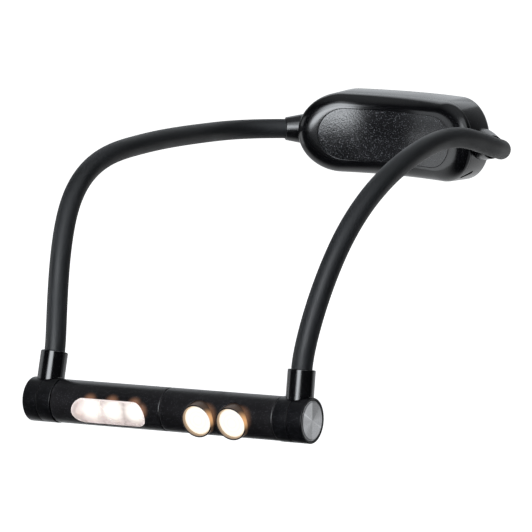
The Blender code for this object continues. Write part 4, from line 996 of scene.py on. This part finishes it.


# Flood lens: a frosted polycarbonate strip, curved to the tube and a little behind its surface. Its
# glow is painted: a pool of light in front of each LED, mist between them, a bright line at its rim.
LENS_OUT = 10.25
LENS_THICKNESS = 1.2
LENS_EDGE = 0.15
LENS_TONES = ((0.5, 0.455, 0.44), (0.62, 0.57, 0.55))
MIST_GLOW_TONES = ((0.18, 0.135, 0.12), (0.37, 0.3, 0.29))
MIST_SPREAD = (0.38, 0.6)
LENS_CLOUDS = 240.0  # clouds in a metre
PAINTED_POOL = (0.75, 0.72, 0.66)
POOL_SHIFT = 3.4  # how far the painted pools sit along from their LEDs, and how far up
POOL_RISE = 2.2
POOL_REACH = (2.4, 7.8)
PAINTED_RIM_LINE = (0.6, 0.54, 0.53)
OUTER_ROWS = (0.47, 0.5)  # the shares of the lens's rows at which its outer face begins
RIM_ROWS = (0.54, 0.56)  # and between which its painted bright line fades

lens_finish = grained("frosted_polycarbonate", LENS_TONES, (0.26, 0.34), (900, 260), (0.05, 0.03))
shade(lens_finish, {"Transmission Weight": 0.5, "IOR": 1.5})
tree = lens_finish.node_tree
mist_glow = mixed(ramp(noise(tree, LENS_CLOUDS), *MIST_SPREAD), *MIST_GLOW_TONES)
painted_pools = nearness(tree, [on_tube(x + POOL_SHIFT, POOL_RISE, flood_turn) for x in led_x], *POOL_REACH)
row = grid_shares(tree)[1]
light = mixed(ramp(row, *RIM_ROWS, 1.0, 0.0), mixed(painted_pools, mist_glow, PAINTED_POOL), PAINTED_RIM_LINE)
lit(lens_finish, mixed(ramp(row, *OUTER_ROWS), BLACK, light))
lens_rings = (
    shrunk(mouth_long, mouth_tall, LENS_OUT - LENS_THICKNESS, 14)[::-1]
    + [(mouth_long, mouth_tall, LENS_OUT - LENS_EDGE)]
    + shrunk(mouth_long - LENS_EDGE, mouth_tall - LENS_EDGE, LENS_OUT, 14))
lens = oval_skin(lens_rings, lambda x, z, radius: -np.sqrt(radius ** 2 - z ** 2), 48, 48) + [WINDOW_X, 0, 0]
show("flood_window", mesh_of(placed(lens, flood_turn, bar_place)), lens_finish, "flood_head", "flood_lens")


# LEDs: warm white packages, three in the flood head and one in each spot. Their phosphor is a
# little uneven and shows yellow between the tray's holes. They keep their CAD meshes.
LED_YELLOW = (0.9, 0.75, 0.4)
LED_GLOWS = ((1.0, 0.8, 0.56), (1.0, 0.752, 0.476))
LED_POWER = 4.0

phosphor_finish = grained("led_phosphor", (LED_YELLOW, LED_YELLOW), (0.35, 0.45), (1500, 500), (0.05, 0.02))
tree = phosphor_finish.node_tree
share = ramp(tree.nodes["Group"].outputs["Tone"], 0.2, 0.8)
lit(phosphor_finish, mixed(share, *LED_GLOWS), LED_POWER)
dress(phosphor_finish, ["flood_led_left", "flood_led_middle", "flood_led_right", "left_spot_led",
                        "right_spot_led"])


# Spot head: the same black anodised tube with two round seats bored side by side for the barrels.
# Each spot's light is painted on it as a glow to the right and up.
SPOT_AIM = 13.9
SPOT_X = 30.5
SPOT_PITCH = 18.65
BARREL_RADIUS = 8.1
SPOT_PAINTED_SPILL_AT = (4.6, 2.6)
SPOT_PAINTED_SPILL_REACH = (2.8, 7.0)
SPOT_PAINTED_SPILL = (0.18, 0.085, 0.042)

spot_turn = bar_turn @ turning("X", SPOT_AIM)
spots = {"left_spot": SPOT_X - SPOT_PITCH / 2, "right_spot": SPOT_X + SPOT_PITCH / 2}
spot_painted_spill = [on_tube(x + SPOT_PAINTED_SPILL_AT[0], SPOT_PAINTED_SPILL_AT[1], spot_turn) for x in spots.values()]
spot_finish = lit_tube("spot_tube_black_anodised", spot_painted_spill, SPOT_PAINTED_SPILL_REACH, SPOT_PAINTED_SPILL)
bore = 2 * (BARREL_RADIUS + GAP)
seats = [(x, bore, bore) for x in spots.values()]
spot_tube = head_tube(GAP / 2, SEAM_X - GAP / 2, spot_turn, seats)
show("spot_tube", spot_tube, spot_finish, "spot_head", "spot_head_tube")


# Spots: each is a turned barrel pressed into its seat, with a painted bright bevel inside its rim, a
# domed lens painted full of the LED's warm light, and a silvered cup and a board behind it.
# (out, radius, round) of the barrel's profile from the bar's axis, and (out, radius) of the lens's up
# to its domed face, which rises by the dome's height.
BARREL = ((1, 1, 0), (1, 8.1, 0.2), (11.7, 8.1, 0.3), (11.7, 7.45, 0.12), (10.1, 7.25, 0.05), (2, 7.25, 0.2),
          (2, 1, 0))
GLASS = ((5.3, 0), (5.3, 2.4), (8.6, 5.85), (8.9, 6.95))
GLASS_FACE = 10.1
GLASS_RADIUS = 6.95
GLASS_DOME = 0.5
SPOT_GLASS = (0.3, 0.29, 0.27)
# The LED's light is painted on each lens as a glow.
SPOT_POWER = 0.74
SPOT_GLOW = (1.0, 0.98, 0.88)
SPOT_RING_GLOW = (1.0, 0.94, 0.8)
SPOT_RIM_GLOW = (1.0, 0.78, 0.52)
SPOT_RIM_REACH = (6.15, 6.95)
SPOT_RINGS = (2.4, 4.3)  # radii of the faint rings painted in a lens's glow
RING_SIDES = (0.6, 0.5)  # how far a ring fades in and out
# The painted light on the bevel inside a barrel's rim, from the rim to the lens, and the painted glow
# on the barrel's side. The rows are shares of the way along the barrel's profile.
BEVEL_ROWS = (0.535, 0.558, 0.595)
PAINTED_BEVEL_TONES = ((0.26, 0.175, 0.115), (0.46, 0.33, 0.21))
SIDE_ROWS = (0.19, 0.222, 0.245, 0.29)
PAINTED_SIDE_GLOW = (0.07, 0.043, 0.028)
HOT_SIDE = (7.9, -11.6, 2.2)  # the brightest point of the painted glow on a barrel's side, from its middle
HOT_REACH = (0.5, 5.6)
PAINTED_HOT_GLOW = (0.78, 0.42, 0.19)


def lit_barrel(name, hot_side):
    """The anodised finish of a barrel, with light painted on its bevel and a painted glow on its side."""
    finish = grained(name, ANODISED_TONES, (0.32, 0.42), (3200, 1300), (0.45, 0.05), specular=0.3)
    tree = finish.node_tree
    row = grid_shares(tree)[1]
    painted_bevel = mixed(ramp(row, *BEVEL_ROWS[1:]), *PAINTED_BEVEL_TONES)
    side = ramp(row, *SIDE_ROWS[:2])
    painted_side_light = maths("MULTIPLY", side, ramp(row, *SIDE_ROWS[2:], 1.0, 0.0))
    hot = maths("MULTIPLY", nearness(tree, [hot_side], *HOT_REACH), side)
    painted_spill = mixed(hot, mixed(painted_side_light, BLACK, PAINTED_SIDE_GLOW), PAINTED_HOT_GLOW)
    return lit(finish, mixed(ramp(row, *BEVEL_ROWS[:2]), painted_spill, painted_bevel))


def lit_glass(name, middle):
    """The finish of a spot's lens: painted full of light, with faint painted rings about its middle and a
    warm painted rim.
    """
    finish = shade(new_material(name), {"Base Color": SPOT_GLASS, "Roughness": 0.1})
    tree = finish.node_tree
    rings = 0.0
    for radius in SPOT_RINGS:
        out = nearness(tree, [middle], radius, radius + RING_SIDES[1])
        ring = maths("SUBTRACT", out, nearness(tree, [middle], radius - RING_SIDES[0], radius))
        rings = maths("MAXIMUM", rings, ring)
    core = nearness(tree, [middle], *SPOT_RIM_REACH)
    face = mixed(rings, SPOT_GLOW, SPOT_RING_GLOW)
    return lit(finish, mixed(core, SPOT_RIM_GLOW, face), SPOT_POWER)


dome = [(GLASS_FACE + GLASS_DOME * (1 - s ** 2), GLASS_RADIUS * s) for s in np.linspace(1, 0, 16)]
out = spot_turn @ turning("Z", -90)
for name, x in spots.items():
    middle, face, hot = placed(
        [(x, 0, 0), (x, -GLASS_FACE, 0), (x + HOT_SIDE[0], *HOT_SIDE[1:])], spot_turn, bar_place)
    show(f"{name}_rim", lathed(rounded(BARREL), out, middle), lit_barrel(f"{name}_black_anodised", hot),
         "spot_head", f"{name}_barrel")
    show(f"{name}_glass", lathed([*GLASS, *dome], out, middle), lit_glass(f"{name}_lit_lens", face),
         "spot_head", f"{name}_lens")
dress(silver_finish, ["left_spot_cup", "right_spot_cup"])
